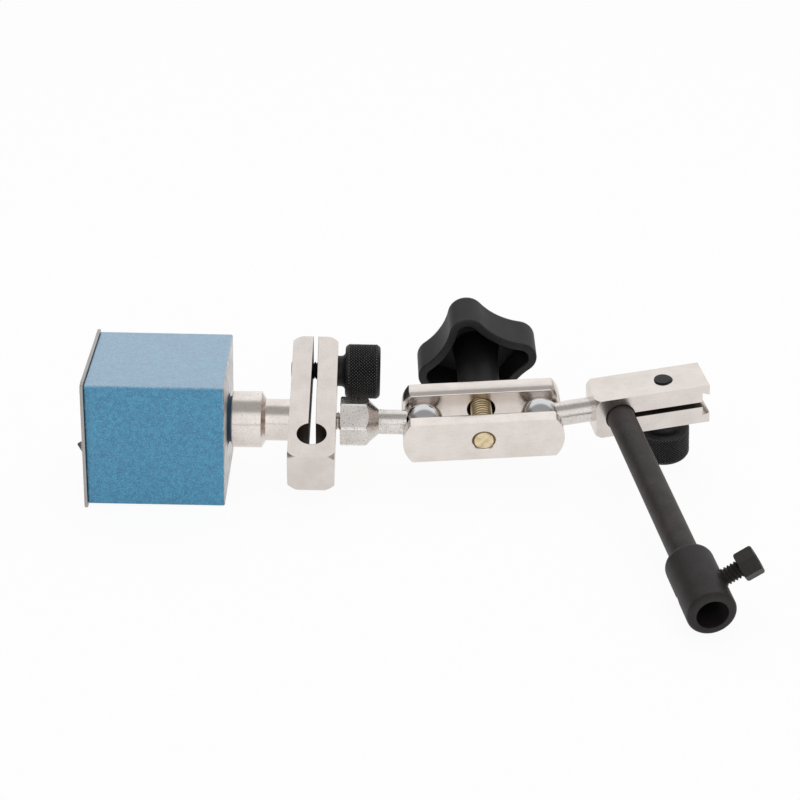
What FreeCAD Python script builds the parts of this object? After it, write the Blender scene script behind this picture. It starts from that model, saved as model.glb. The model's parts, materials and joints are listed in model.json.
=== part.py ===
import FreeCAD, Part
import math
import os

# A small magnetic base lying on its side, with a post, a slotted adjusting block, a clamp that
# grips two ball studs, a slotted head block and a rod with a stem sleeve.
# Millimetres. The origin is the centre of the pole face, +X runs along the post, +Z is up.

V = FreeCAD.Vector

# Base block
base_length = 37.0
base_depth = 37.0
base_height = 35.0
base_edge = 0.5
spacer_thickness = 2.0
keeper_thickness = 0.85
keeper_overhang = 1.0
keeper_corner = 1.0
keeper_nib_height = 3.0
keeper_nib_reach = 1.2

# Magnet chamber, which opens on the back face, and the rotor in it
chamber_face_wall = 5.0
chamber_post_wall = 8.0
chamber_front_wall = 4.0
cover_ledge = 1.0
cover_thickness = 2.0
rotor_clearance = 0.1
rotor_end_gap = 0.2
magnet_thickness = 9.0
rotor_disc = 2.4
shaft_radius = 4.0
shaft_clearance = 0.1

# Switch knob
knob_radius = 11.0
knob_height = 9.0
knob_gap = 0.2
knob_skirt = 4.0
knob_bar_width = 7.0
knob_edge = 0.8
knob_screw_radius = 1.5
knob_screw_head_radius = 2.6
knob_screw_head_height = 1.8
knob_screw_length = 7.0
knob_screw_socket = 1.0

# Post, between the base block and the adjusting block
post_spigot_radius = 4.0
post_spigot_length = 6.0
post_recess_radius = 7.0
post_recess_depth = 1.2
post_neck_radius = 4.5
post_gap = 1.0
collar_radius = 7.75
collar_length = 8.1
collar_edge = 0.3
collar_cone = 1.15
stem_radius = 5.75
stem_length = 6.55
stem_spigot_radius = 3.0
stem_spigot_length = 4.6

# Adjusting block: a square bar whose length lies across the post
adjust_bar = 12.7
adjust_tilt_angle = 19.6
adjust_below = 20.4
adjust_above = 27.3
adjust_bore_radius = 4.0
adjust_bore_below = 11.45
adjust_screw_above = 20.0
adjust_slot_inner = 2.0
adjust_slot_outer = 1.3
bar_end_reduction = 0.15
bar_end_angle = 40.0

# Knurled thumb screws
thumb_thread_radius = 2.5
thumb_tip = 0.4
thumb_neck_radius = 4.3
thumb_neck_length = 2.6
thumb_fillet = 1.2
thumb_head_length = 9.3
adjust_head_radius = 7.4
head_head_radius = 6.9
thumb_edge = 0.9
thread_clearance = 0.05

# Ball studs
ball_radius = 5.5
ball_clearance = 0.05
stud_thread_radius = 2.5
stud_thread_depth = 4.6
stud_gap = 1.15
stud_hex_flats = 12.0
stud_hex_length = 7.9
stud_cone_length = 2.7
stud_neck_radius = 3.4
stud_a_reach = 24.3
stud_b_reach = 14.5
stud_b_spigot = 2.3

# Clamp: two plates, turned at their ends
clamp_roll_angle = 13.9
clamp_rise_angle = 4.2
clamp_swing_angle = 0.4
ball_spacing = 32.0
plate_gap = 9.2
plate_thickness = 4.6
plate_width = 12.8
plate_past_ball = 6.05
plate_end_radius = 10.0
plate_bevel = 0.8
clamp_screw_radius = 2.95
clamp_screw_end = 0.5
plate_countersink = 0.6
back_hole_radius = 3.9

# Star knob of the clamp
star_lobes = 4
star_tip = 17.2
star_valley = 11.5
star_lobe_radius = 5.6
star_turn_angle = -12.0
star_standoff = 14.2
star_height = 12.5
star_wall = 2.4
star_web = 3.2
star_edge = 2.2
boss_radius = 5.6
boss_taper = 0.7
boss_gap = 0.1
screw_in_boss = 18.0

# Head block
head_rise_angle = 6.8
head_swing_angle = 8.4
head_bar = 12.0
head_length = 32.0
head_bore_radius = 3.9
head_bore_setback = 6.8
head_screw_setback = 20.5
head_slot = 1.5
dovetail_mouth = 5.8
dovetail_base = 7.4
dovetail_depth = 2.0

# Rod and stem sleeve
rod_radius = 3.82
rod_reach = 92.9
rod_behind = 3.0
rod_chamfer = 0.5
sleeve_radius = 6.25
sleeve_length = 20.9
sleeve_bore_radius = 4.0
sleeve_bore_depth = 12.9
sleeve_socket_depth = 7.0
sleeve_shoulder = 2.2
sleeve_edge = 0.8
sleeve_screw_setback = 9.6
sleeve_screw_angle = 27.0
sleeve_thread_radius = 2.0
sleeve_screw_stand_off = 4.6
sleeve_hex_flats = 6.6
sleeve_hex_length = 4.8
sleeve_hex_edge = 0.4
sleeve_socket_radius = 2.0
sleeve_recess = 2.2

# Places that follow from the sizes
half_depth = base_depth / 2
half_height = base_height / 2
half_spacer = spacer_thickness / 2
chamber_radius = (base_length - chamber_face_wall - chamber_post_wall) / 2
chamber_setback = chamber_face_wall + chamber_radius
chamber_front = -half_depth + chamber_front_wall
cover_inner = half_depth - cover_thickness
rotor_radius = chamber_radius - rotor_clearance
rotor_front = chamber_front + rotor_end_gap
disc_back = cover_inner - rotor_end_gap
disc_front = disc_back - rotor_disc
knob_base = half_depth + knob_gap
knob_top = knob_base + knob_height
shaft_end = knob_top - knob_screw_head_height - 2 * knob_screw_socket

collar_start = base_length + post_gap
collar_end = collar_start + collar_length
stem_start = collar_end + collar_cone
adjust_left = stem_start + stem_length
adjust_middle = adjust_left + adjust_bar / 2
adjust_right = adjust_left + adjust_bar
ball_a = adjust_right + stud_a_reach

plate_inner = plate_gap / 2
plate_outer = plate_inner + plate_thickness
clamp_middle = ball_spacing / 2
plate_half_length = clamp_middle + plate_past_ball
thumb_hole_radius = thumb_thread_radius + thread_clearance
stud_hole_radius = stud_thread_radius + thread_clearance

# Frames of the tilted groups. Each frame's X runs along its own length.


def turn(axis, angle):
    return FreeCAD.Rotation(axis, angle)


def swung(swing, rise, roll):
    about_z = turn(V(0, 0, 1), swing)
    about_y = turn(V(0, 1, 0), -rise)
    about_x = turn(V(1, 0, 0), roll)
    return about_z.multiply(about_y).multiply(about_x)


adjust_frame = FreeCAD.Placement(V(0, 0, 0), turn(V(1, 0, 0), adjust_tilt_angle))
clamp_turn = swung(clamp_swing_angle, clamp_rise_angle, clamp_roll_angle)
clamp_frame = FreeCAD.Placement(V(ball_a, 0, 0), clamp_turn)
ball_b_centre = clamp_frame.multVec(V(ball_spacing, 0, 0))


def rest_plane():
    """The plane the object lies on: the keeper's lower edge and the block's lower right edge."""
    fall = math.atan2(keeper_overhang, base_length + keeper_thickness)
    normal = V(-math.sin(fall), 0, math.cos(fall))
    return V(base_length, 0, -half_height), normal


def head_roll():
    """The turn about the stud that lays the sleeve's rim on the rest plane."""
    point, normal = rest_plane()
    level = swung(head_swing_angle, head_rise_angle, 0)
    away = level.multVec(V(0, 1, 0))
    up = level.multVec(V(0, 0, 1))
    along = level.multVec(V(1, 0, 0))
    bore = ball_b_centre + along * (stud_b_reach + head_bore_setback)
    height = (bore - point).dot(normal)
    droop = math.asin(height / math.hypot(rod_reach, sleeve_radius))
    droop -= math.atan2(sleeve_radius, rod_reach)
    across = away.dot(normal)
    upward = up.dot(normal)
    steepest = math.atan2(upward, across)
    part = math.sin(droop) / math.hypot(across, upward)
    return math.degrees(steepest - math.acos(part))


head_frame = FreeCAD.Placement(ball_b_centre, swung(head_swing_angle, head_rise_angle, head_roll()))


# Shapes that repeat


def box(low, high):
    size = high - low
    return Part.makeBox(size.x, size.y, size.z, low)


def rod_along(start, direction, length, radius):
    return Part.makeCylinder(radius, length, start, direction)


def turned(profile):
    """A solid turned about X from (x, radius) points that start and end on the axis."""
    points = [V(x, r, 0) for x, r in profile]
    face = Part.Face(Part.makePolygon(points + [points[0]]))
    return face.revolve(V(0, 0, 0), V(1, 0, 0), 360)


def prism(points, direction):
    face = Part.Face(Part.makePolygon(points + [points[0]]))
    return face.extrude(direction)


def hexagon(start, length, flats):
    """A hexagonal prism along X with a corner towards -Y."""
    corner = flats / math.sqrt(3)
    points = []
    for step in range(6):
        angle = math.radians(60 * step)
        points.append(V(start, corner * math.cos(angle), corner * math.sin(angle)))
    return prism(points, V(length, 0, 0))


def square_bar(start, end, side, turned_start, turned_end):
    """A square bar along X whose corners are turned off at the chosen ends."""
    half = side / 2
    bar = box(V(start, -half, -half), V(end, half, half))
    corner = half * math.sqrt(2) + bar_end_reduction
    face_radius = half - bar_end_reduction
    run = (corner - face_radius) * math.tan(math.radians(bar_end_angle))
    profile = [(start, 0)]
    if turned_start:
        profile += [(start, face_radius), (start + run, corner)]
    else:
        profile += [(start, corner)]
    if turned_end:
        profile += [(end - run, corner), (end, face_radius)]
    else:
        profile += [(end, corner)]
    profile += [(end, 0)]
    return bar.common(turned(profile))


def thumb_screw(bar, head_radius):
    """Axis +X, the origin at the bar's middle: the tip to the left, the head to the right."""
    half = bar / 2
    neck_end = half + thumb_neck_length
    head_end = neck_end + thumb_head_length
    body = turned([
        (-half - thumb_tip, 0),
        (-half - thumb_tip, thumb_thread_radius),
        (half, thumb_thread_radius),
        (half, thumb_neck_radius),
        (neck_end - thumb_fillet, thumb_neck_radius),
        (neck_end, thumb_neck_radius + thumb_fillet),
        (neck_end, head_radius),
        (head_end, head_radius),
        (head_end, 0),
    ])
    rims = [e for e in body.Edges if is_ring(e, head_radius)]
    return body.makeFillet(thumb_edge, rims)


def is_ring(edge, radius):
    round_edge = hasattr(edge.Curve, "Radius") and edge.isClosed()
    return round_edge and abs(edge.Curve.Radius - radius) < 1e-6


def ball_seat(centre):
    return Part.makeSphere(ball_radius + ball_clearance, centre)


# Base block


def base_outline():
    block = box(V(0, -half_depth, -half_height), V(base_length, half_depth, half_height))
    return block.makeChamfer(base_edge, block.Edges)


def chamber():
    axis_point = V(chamber_setback, chamber_front, 0)
    bore = rod_along(axis_point, V(0, 1, 0), half_depth - chamber_front, chamber_radius)
    seat_point = V(chamber_setback, cover_inner, 0)
    seat = rod_along(seat_point, V(0, 1, 0), cover_thickness, chamber_radius + cover_ledge)
    return bore.fuse(seat)


def post_hole():
    spigot = rod_along(V(base_length, 0, 0), V(-1, 0, 0), post_spigot_length, post_spigot_radius)
    recess = rod_along(V(base_length, 0, 0), V(-1, 0, 0), post_recess_depth, post_recess_radius)
    return spigot.fuse(recess)


def base_block():
    return base_outline().cut(chamber()).cut(post_hole())


def pole_upper():
    half = box(V(0, -half_depth, half_spacer), V(base_length, half_depth, half_height))
    return base_block().common(half)


def pole_lower():
    half = box(V(0, -half_depth, -half_height), V(base_length, half_depth, -half_spacer))
    return base_block().common(half)


def pole_spacer():
    slab = box(V(0, -half_depth, -half_spacer), V(base_length, half_depth, half_spacer))
    return base_block().common(slab)


def chamber_cover():
    start = V(chamber_setback, cover_inner, 0)
    disc = rod_along(start, V(0, 1, 0), cover_thickness, chamber_radius + cover_ledge)
    hole = rod_along(start, V(0, 1, 0), cover_thickness, shaft_radius + shaft_clearance)
    return disc.cut(hole)


def keeper_plate():
    wide = half_depth + keeper_overhang
    tall = half_height + keeper_overhang
    plate = box(V(-keeper_thickness, -wide, -tall), V(0, wide, tall))
    corners = [e for e in plate.Edges if e.BoundBox.XLength > keeper_thickness / 2]
    corners = [e for e in corners if e.BoundBox.YLength + e.BoundBox.ZLength < keeper_thickness]
    plate = plate.makeFillet(keeper_corner, corners)
    half_nib = keeper_nib_height / 2
    nib = prism([
        V(-keeper_thickness, -wide, -half_nib),
        V(-keeper_thickness - keeper_nib_reach, -wide, half_nib / 2),
        V(-keeper_thickness, -wide, half_nib),
    ], V(0, keeper_thickness, 0))
    return plate.fuse(nib).removeSplitter()


# Switch


def rotor_segment(low_x, high_x):
    start = V(chamber_setback, rotor_front, 0)
    drum = rod_along(start, V(0, 1, 0), disc_front - rotor_front, rotor_radius)
    slice_low = V(chamber_setback + low_x, rotor_front, -rotor_radius)
    slice_high = V(chamber_setback + high_x, disc_front, rotor_radius)
    return drum.common(box(slice_low, slice_high))


def rotor_shaft():
    disc = rod_along(V(chamber_setback, disc_front, 0), V(0, 1, 0), rotor_disc, rotor_radius)
    shaft = rod_along(V(chamber_setback, disc_back, 0), V(0, 1, 0), shaft_end - disc_back, shaft_radius)
    thread_start = V(chamber_setback, shaft_end, 0)
    thread = rod_along(thread_start, V(0, -1, 0), knob_screw_length, knob_screw_radius)
    return disc.fuse(shaft).cut(thread)


def switch_knob():
    centre = V(chamber_setback, knob_base, 0)
    skirt = rod_along(centre, V(0, 1, 0), knob_skirt, knob_radius)
    half_bar = knob_bar_width / 2
    bar_low = V(chamber_setback - knob_radius, knob_base, -half_bar)
    bar_high = V(chamber_setback + knob_radius, knob_top, half_bar)
    drum = rod_along(centre, V(0, 1, 0), knob_height, knob_radius)
    knob = skirt.fuse(box(bar_low, bar_high).common(drum)).removeSplitter()
    tops = [e for e in knob.Edges if abs(e.BoundBox.YMin - knob_top) < 1e-6]
    knob = knob.makeFillet(knob_edge, tops)
    socket = rod_along(centre, V(0, 1, 0), shaft_end - knob_base, shaft_radius)
    shank = rod_along(centre, V(0, 1, 0), knob_height, knob_screw_radius)
    head_start = V(chamber_setback, knob_screw_seat(), 0)
    head = rod_along(head_start, V(0, 1, 0), knob_height, knob_screw_head_radius + shaft_clearance)
    return knob.cut(socket).cut(shank).cut(head)


def knob_screw_seat():
    return knob_top - knob_screw_head_height - knob_screw_socket


def knob_screw():
    seat = knob_screw_seat()
    head_start = V(chamber_setback, seat, 0)
    head = rod_along(head_start, V(0, 1, 0), knob_screw_head_height, knob_screw_head_radius)
    length = knob_screw_length + seat - shaft_end
    shank = rod_along(head_start, V(0, -1, 0), length, knob_screw_radius)
    key = hexagon(0, knob_screw_socket, 2 * knob_screw_radius)
    key_start = V(chamber_setback, seat + knob_screw_head_height - knob_screw_socket, 0)
    key.Placement = FreeCAD.Placement(key_start, turn(V(0, 0, 1), 90))
    return head.fuse(shank).cut(key)


# Post and adjusting block


def post():
    return turned([
        (base_length - post_spigot_length, 0),
        (base_length - post_spigot_length, post_spigot_radius),
        (base_length - post_recess_depth, post_spigot_radius),
        (base_length - post_recess_depth, post_neck_radius),
        (collar_start, post_neck_radius),
        (collar_start, collar_radius - collar_edge),
        (collar_start + collar_edge, collar_radius),
        (collar_end, collar_radius),
        (stem_start, stem_radius),
        (adjust_left, stem_radius),
        (adjust_left, stem_spigot_radius),
        (adjust_left + stem_spigot_length, stem_spigot_radius),
        (adjust_left + stem_spigot_length, 0),
    ])


def adjust_block():
    """Built in its own frame: Y along the bar, X along the post, Z along the bore."""
    bar = square_bar(-adjust_below, adjust_above, adjust_bar, True, True)
    bar.Placement = FreeCAD.Placement(V(adjust_middle, 0, 0), turn(V(0, 0, 1), 90))
    half = adjust_bar / 2
    bore_start = V(adjust_middle, -adjust_bore_below, -half)
    bore = rod_along(bore_start, V(0, 0, 1), adjust_bar, adjust_bore_radius)
    inner = adjust_slot_inner / 2
    outer = adjust_slot_outer / 2
    slot = prism([
        V(adjust_middle - inner, -adjust_bore_below, -half),
        V(adjust_middle + inner, -adjust_bore_below, -half),
        V(adjust_middle + outer, adjust_above, -half),
        V(adjust_middle - outer, adjust_above, -half),
    ], V(0, 0, adjust_bar))
    screw_start = V(adjust_left, adjust_screw_above, 0)
    screw_hole = rod_along(screw_start, V(1, 0, 0), adjust_bar, thumb_hole_radius)
    post_seat = rod_along(V(adjust_left, 0, 0), V(1, 0, 0), stem_spigot_length, stem_spigot_radius)
    thread_room = stud_thread_depth + thread_clearance
    stud_start = V(adjust_right, 0, 0)
    stud_hole = rod_along(stud_start, V(-1, 0, 0), thread_room, stud_hole_radius)
    block = bar.cut(bore).cut(slot).cut(screw_hole).cut(post_seat).cut(stud_hole)
    return placed(block, adjust_frame)


def adjust_screw():
    screw = thumb_screw(adjust_bar, adjust_head_radius)
    screw.Placement = FreeCAD.Placement(V(adjust_middle, adjust_screw_above, 0), turn(V(1, 0, 0), 0))
    return placed(screw, adjust_frame)


def placed(shape, frame):
    moved = shape.copy()
    moved.Placement = frame.multiply(moved.Placement)
    return moved


# Ball studs and clamp


def ball_stud_a():
    hex_start = adjust_right + stud_gap
    hex_end = hex_start + stud_hex_length
    cone_end = hex_end + stud_cone_length
    flat_radius = stud_hex_flats / 2
    shank = turned([
        (adjust_right - stud_thread_depth, 0),
        (adjust_right - stud_thread_depth, stud_thread_radius),
        (hex_start, stud_thread_radius),
        (hex_start, flat_radius),
        (hex_end, flat_radius),
        (cone_end, stud_neck_radius),
        (ball_a, stud_neck_radius),
        (ball_a, 0),
    ])
    corner = stud_hex_flats / math.sqrt(3)
    easing = corner - flat_radius
    limit = turned([
        (hex_start, 0),
        (hex_start, flat_radius + easing / 2),
        (hex_start + easing / 2, corner),
        (hex_end - easing, corner),
        (hex_end, flat_radius),
        (hex_end, 0),
    ])
    grip = hexagon(hex_start, stud_hex_length, stud_hex_flats).common(limit)
    ball = Part.makeSphere(ball_radius, V(ball_a, 0, 0))
    return shank.fuse(grip).fuse(ball)


def plate_blank():
    """One plate's outline, standing between its inner and outer face on the +Y side."""
    half_width = plate_width / 2
    low = V(clamp_middle - plate_half_length, plate_inner, -half_width)
    high = V(clamp_middle + plate_half_length, plate_outer, half_width)
    blank = box(low, high)
    for side in (-1, 1):
        centre_x = clamp_middle + side * (plate_half_length - plate_end_radius)
        disc = rod_along(V(centre_x, plate_inner, 0), V(0, 1, 0), plate_thickness, plate_end_radius)
        keep_low = V(min(centre_x, clamp_middle - side * plate_half_length), plate_inner, -plate_end_radius)
        keep_high = V(max(centre_x, clamp_middle - side * plate_half_length), plate_outer, plate_end_radius)
        blank = blank.common(disc.fuse(box(keep_low, keep_high)))
    inner_rim = [e for e in blank.Edges if e.BoundBox.YMax < plate_inner + 1e-6]
    return blank.makeChamfer(plate_bevel, inner_rim)


def plate_with_seats():
    plate = plate_blank()
    for x in (0, ball_spacing):
        plate = plate.cut(ball_seat(V(x, 0, 0)))
    return plate


def clamp_plate_back():
    hole = rod_along(V(clamp_middle, plate_inner, 0), V(0, 1, 0), plate_thickness, back_hole_radius)
    return placed(plate_with_seats().cut(hole), clamp_frame)


def clamp_plate_front():
    plate = plate_with_seats().mirror(V(0, 0, 0), V(0, 1, 0))
    radius = clamp_screw_radius + thread_clearance
    hole = rod_along(V(clamp_middle, -plate_outer, 0), V(0, 1, 0), plate_thickness, radius)
    mouth = V(clamp_middle, -plate_outer, 0)
    sink = Part.makeCone(radius + plate_countersink, radius, plate_countersink, mouth, V(0, 1, 0))
    return placed(plate.cut(hole).cut(sink), clamp_frame)


def clamp_screw():
    length = 2 * plate_outer + boss_gap + screw_in_boss
    screw = turned([
        (0, 0),
        (0, clamp_screw_radius - clamp_screw_end),
        (clamp_screw_end, clamp_screw_radius),
        (length, clamp_screw_radius),
        (length, 0),
    ])
    screw.Placement = FreeCAD.Placement(V(clamp_middle, -plate_outer, 0), turn(V(0, 0, 1), 90))
    return placed(screw, clamp_frame)


def star_outline(shrink):
    """Lobes and hollows as tangent arcs, drawn in the XZ plane round the origin."""
    lobe = star_lobe_radius - shrink
    centre = star_tip - star_lobe_radius
    half_pitch = math.pi / star_lobes
    cosine = math.cos(half_pitch)
    valley = star_valley
    full = star_lobe_radius
    numerator = valley ** 2 + centre ** 2 - 2 * valley * centre * cosine - full ** 2
    hollow = numerator / (2 * (full - valley + centre * cosine)) + shrink
    hollow_centre = valley + hollow - shrink
    edges = []
    for step in range(star_lobes):
        middle = 2 * half_pitch * step + math.radians(star_turn_angle)
        lobe_at = polar(centre, middle)
        before_at = polar(hollow_centre, middle - half_pitch)
        after_at = polar(hollow_centre, middle + half_pitch)
        first = lobe_at + (before_at - lobe_at).normalize() * lobe
        last = lobe_at + (after_at - lobe_at).normalize() * lobe
        tip = polar(centre + lobe, middle)
        edges.append(Part.Arc(first, tip, last).toShape())
        next_at = polar(centre, middle + 2 * half_pitch)
        next_first = next_at + (after_at - next_at).normalize() * lobe
        dip = polar(hollow_centre - hollow, middle + half_pitch)
        edges.append(Part.Arc(last, dip, next_first).toShape())
    return Part.Face(Part.Wire(edges))


def polar(radius, angle):
    return V(radius * math.sin(angle), 0, radius * math.cos(angle))


def star_knob():
    rim = plate_outer + star_standoff
    top = rim + star_height
    outer = star_outline(0)
    outer.translate(V(0, rim, 0))
    body = outer.extrude(V(0, star_height, 0))
    crown = [e for e in body.Edges if e.BoundBox.YMin > top - 1e-6]
    body = body.makeFillet(star_edge, crown)
    hollow = star_outline(star_wall)
    hollow.translate(V(0, rim, 0))
    body = body.cut(hollow.extrude(V(0, star_height - star_web, 0)))
    boss_start = plate_outer + boss_gap
    boss_length = top - star_web - boss_start
    boss_top = boss_radius + boss_taper
    boss = Part.makeCone(boss_radius, boss_top, boss_length + star_web / 2, V(0, boss_start, 0), V(0, 1, 0))
    bore = rod_along(V(0, boss_start, 0), V(0, 1, 0), screw_in_boss, clamp_screw_radius)
    body = body.fuse(boss).cut(bore)
    body.translate(V(clamp_middle, 0, 0))
    return placed(body, clamp_frame)


def ball_stud_b():
    shank = turned([
        (0, 0),
        (0, stud_neck_radius),
        (stud_b_reach - thread_clearance, stud_neck_radius),
        (stud_b_reach - thread_clearance, stud_thread_radius),
        (stud_b_reach + stud_b_spigot, stud_thread_radius),
        (stud_b_reach + stud_b_spigot, 0),
    ])
    ball = Part.makeSphere(ball_radius, V(0, 0, 0))
    return placed(shank.fuse(ball), head_frame)


# Head block, rod and sleeve. The head's -Y is the rod's way, towards the front.


def head_block():
    end = stud_b_reach + head_length
    half = head_bar / 2
    bar = square_bar(stud_b_reach, end, head_bar, True, False)
    bore_x = stud_b_reach + head_bore_setback
    bore = rod_along(V(bore_x, -half, 0), V(0, 1, 0), head_bar, head_bore_radius)
    slot = box(V(bore_x, -half, -head_slot / 2), V(end, half, head_slot / 2))
    mouth = dovetail_mouth / 2
    base = dovetail_base / 2
    groove = prism([
        V(end, -half, -mouth),
        V(end - dovetail_depth, -half, -base),
        V(end - dovetail_depth, -half, base),
        V(end, -half, mouth),
    ], V(0, head_bar, 0))
    screw_x = stud_b_reach + head_screw_setback
    screw_hole = rod_along(V(screw_x, 0, -half), V(0, 0, 1), head_bar, thumb_hole_radius)
    stud_room = stud_b_spigot + thread_clearance
    stud_hole = rod_along(V(stud_b_reach, 0, 0), V(1, 0, 0), stud_room, stud_hole_radius)
    block = bar.cut(bore).cut(slot).cut(groove).cut(screw_hole).cut(stud_hole)
    return placed(block, head_frame)


def head_screw():
    screw = thumb_screw(head_bar, head_head_radius)
    screw.Placement = FreeCAD.Placement(V(stud_b_reach + head_screw_setback, 0, 0), turn(V(0, 1, 0), 90))
    return placed(screw, head_frame)


def rod_frame():
    """X along the rod from the bore's centre, Y along the head, away from the base."""
    towards_front = turn(V(0, 0, 1), -90)
    return head_frame.multiply(FreeCAD.Placement(V(stud_b_reach + head_bore_setback, 0, 0), towards_front))


def rod():
    start = -head_bar / 2 - rod_behind
    end = rod_reach - sleeve_length + sleeve_socket_depth
    body = turned([
        (start, 0),
        (start, rod_radius - rod_chamfer),
        (start + rod_chamfer, rod_radius),
        (end, rod_radius),
        (end, 0),
    ])
    return placed(body, rod_frame())


def sleeve():
    start = rod_reach - sleeve_length
    body = rod_along(V(start, 0, 0), V(1, 0, 0), sleeve_length, sleeve_radius)
    back = [e for e in body.Edges if is_ring(e, sleeve_radius) and e.BoundBox.XMax < start + 1e-3]
    body = body.makeFillet(sleeve_shoulder, back)
    front = [e for e in body.Edges if is_ring(e, sleeve_radius) and e.BoundBox.XMin > rod_reach - 1e-3]
    body = body.makeFillet(sleeve_edge, front)
    socket = rod_along(V(start, 0, 0), V(1, 0, 0), sleeve_socket_depth, rod_radius + thread_clearance)
    bore = rod_along(V(rod_reach, 0, 0), V(-1, 0, 0), sleeve_bore_depth, sleeve_bore_radius)
    cross_radius = sleeve_thread_radius + thread_clearance
    cross = rod_along(V(-sleeve_radius, 0, 0), V(1, 0, 0), 2 * sleeve_radius, cross_radius)
    cross = placed(cross, sleeve_screw_frame())
    return placed(body.cut(socket).cut(bore).cut(cross), rod_frame())


def sleeve_screw_frame():
    """X along the screw from the sleeve's axis, seen in the rod's frame."""
    upwards = turn(V(1, 0, 0), sleeve_screw_angle)
    sideways = turn(V(0, 0, 1), 90)
    return FreeCAD.Placement(V(rod_reach - sleeve_screw_setback, 0, 0), upwards.multiply(sideways))


def sleeve_screw():
    tip = sleeve_bore_radius + thread_clearance
    head_start = sleeve_radius + sleeve_screw_stand_off
    head_end = head_start + sleeve_hex_length
    corner = sleeve_hex_flats / math.sqrt(3)
    shank = rod_along(V(tip, 0, 0), V(1, 0, 0), head_start + sleeve_hex_edge - tip, sleeve_thread_radius)
    limit = turned([
        (head_start, 0),
        (head_start, corner - sleeve_hex_edge),
        (head_start + sleeve_hex_edge, corner),
        (head_end - sleeve_hex_edge, corner),
        (head_end, corner - sleeve_hex_edge),
        (head_end, 0),
    ])
    head = hexagon(head_start, sleeve_hex_length, sleeve_hex_flats).common(limit)
    recess = rod_along(V(head_end, 0, 0), V(-1, 0, 0), sleeve_recess, sleeve_socket_radius)
    screw = placed(shank.fuse(head).cut(recess), sleeve_screw_frame())
    return placed(screw, rod_frame())


half_magnet = magnet_thickness / 2
nodes = {
    "pole_upper": pole_upper(),
    "pole_lower": pole_lower(),
    "pole_spacer": pole_spacer(),
    "chamber_cover": chamber_cover(),
    "keeper_plate": keeper_plate(),
    "rotor_magnet": rotor_segment(-half_magnet, half_magnet),
    "rotor_cheek_left": rotor_segment(-rotor_radius, -half_magnet),
    "rotor_cheek_right": rotor_segment(half_magnet, rotor_radius),
    "rotor_shaft": rotor_shaft(),
    "switch_knob": switch_knob(),
    "knob_screw": knob_screw(),
    "post": post(),
    "adjust_block": adjust_block(),
    "adjust_screw": adjust_screw(),
    "ball_stud_a": ball_stud_a(),
    "clamp_plate_front": clamp_plate_front(),
    "clamp_plate_back": clamp_plate_back(),
    "clamp_screw": clamp_screw(),
    "star_knob": star_knob(),
    "ball_stud_b": ball_stud_b(),
    "head_block": head_block(),
    "head_screw": head_screw(),
    "rod": rod(),
    "sleeve": sleeve(),
    "sleeve_screw": sleeve_screw(),
}

os.makedirs("parts", exist_ok=True)
for name, shape in nodes.items():
    shape.exportStep("parts/" + name + ".step")
    print(name, len(shape.Solids), "solid", round(shape.Volume, 1), "mm3, valid:", shape.isValid())
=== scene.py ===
"""The looks of a small magnetic base with a slotted block, a ball clamp, a rod and a sleeve.

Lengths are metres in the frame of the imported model: the origin is the centre of the pole face,
+X runs along the post, +Y away from the camera and +Z up.
"""

import sys

import json
import logging
import math
from abc import ABC, abstractmethod
from dataclasses import dataclass, field
from enum import Enum
from typing import Iterable, Sequence

import bmesh
import bpy
from mathutils import Matrix, Vector


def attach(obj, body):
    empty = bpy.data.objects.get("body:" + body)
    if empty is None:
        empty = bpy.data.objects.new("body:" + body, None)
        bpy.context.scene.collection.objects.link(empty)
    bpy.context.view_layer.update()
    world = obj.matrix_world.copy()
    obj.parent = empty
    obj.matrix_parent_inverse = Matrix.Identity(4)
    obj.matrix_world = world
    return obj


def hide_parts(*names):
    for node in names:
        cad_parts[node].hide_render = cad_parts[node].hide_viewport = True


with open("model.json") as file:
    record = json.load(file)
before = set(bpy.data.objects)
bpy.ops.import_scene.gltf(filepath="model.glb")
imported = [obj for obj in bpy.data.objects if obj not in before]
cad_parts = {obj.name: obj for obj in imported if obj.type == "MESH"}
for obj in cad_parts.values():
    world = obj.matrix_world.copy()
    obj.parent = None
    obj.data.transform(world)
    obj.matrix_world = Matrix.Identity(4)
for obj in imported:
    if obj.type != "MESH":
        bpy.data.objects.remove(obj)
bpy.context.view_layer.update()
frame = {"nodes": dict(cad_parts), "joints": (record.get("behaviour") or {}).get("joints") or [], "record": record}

LOG = logging.getLogger("magnetic_base")
MM = 0.001
MERGE = 0.002 * MM
ROUND_STEPS = 96

Point = tuple[float, float, float]
Profile = Sequence[tuple[float, float]]
Colour = tuple[float, float, float]


def srgb(red: int, green: int, blue: int) -> Colour:
    """Turns a colour of 0 to 255, as a screen shows it, into linear values."""

    def linear(value: int) -> float:
        """Undoes the screen's curve for one channel."""
        share = value / 255
        return share / 12.92 if share <= 0.04045 else ((share + 0.055) / 1.055) ** 2.4

    return linear(red), linear(green), linear(blue)


def axes(origin: Vector, along: Vector, aside: Vector) -> Matrix:
    """Makes a frame from an origin and two directions.

    Args:
        origin: The frame's origin.
        along: The frame's X.
        aside: A direction that fixes the frame's Y, at right angles to X or nearly so.

    Returns:
        The matrix that takes the frame's own coordinates to the object's.
    """
    x = along.normalized()
    z = x.cross(aside).normalized()
    y = z.cross(x)
    turn = Matrix((x, y, z)).transposed().to_4x4()
    return Matrix.Translation(origin) @ turn


class Combine(Enum):
    """How one solid changes another."""

    CUT = "DIFFERENCE"
    KEEP = "INTERSECT"
    ADD = "UNION"


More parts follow.
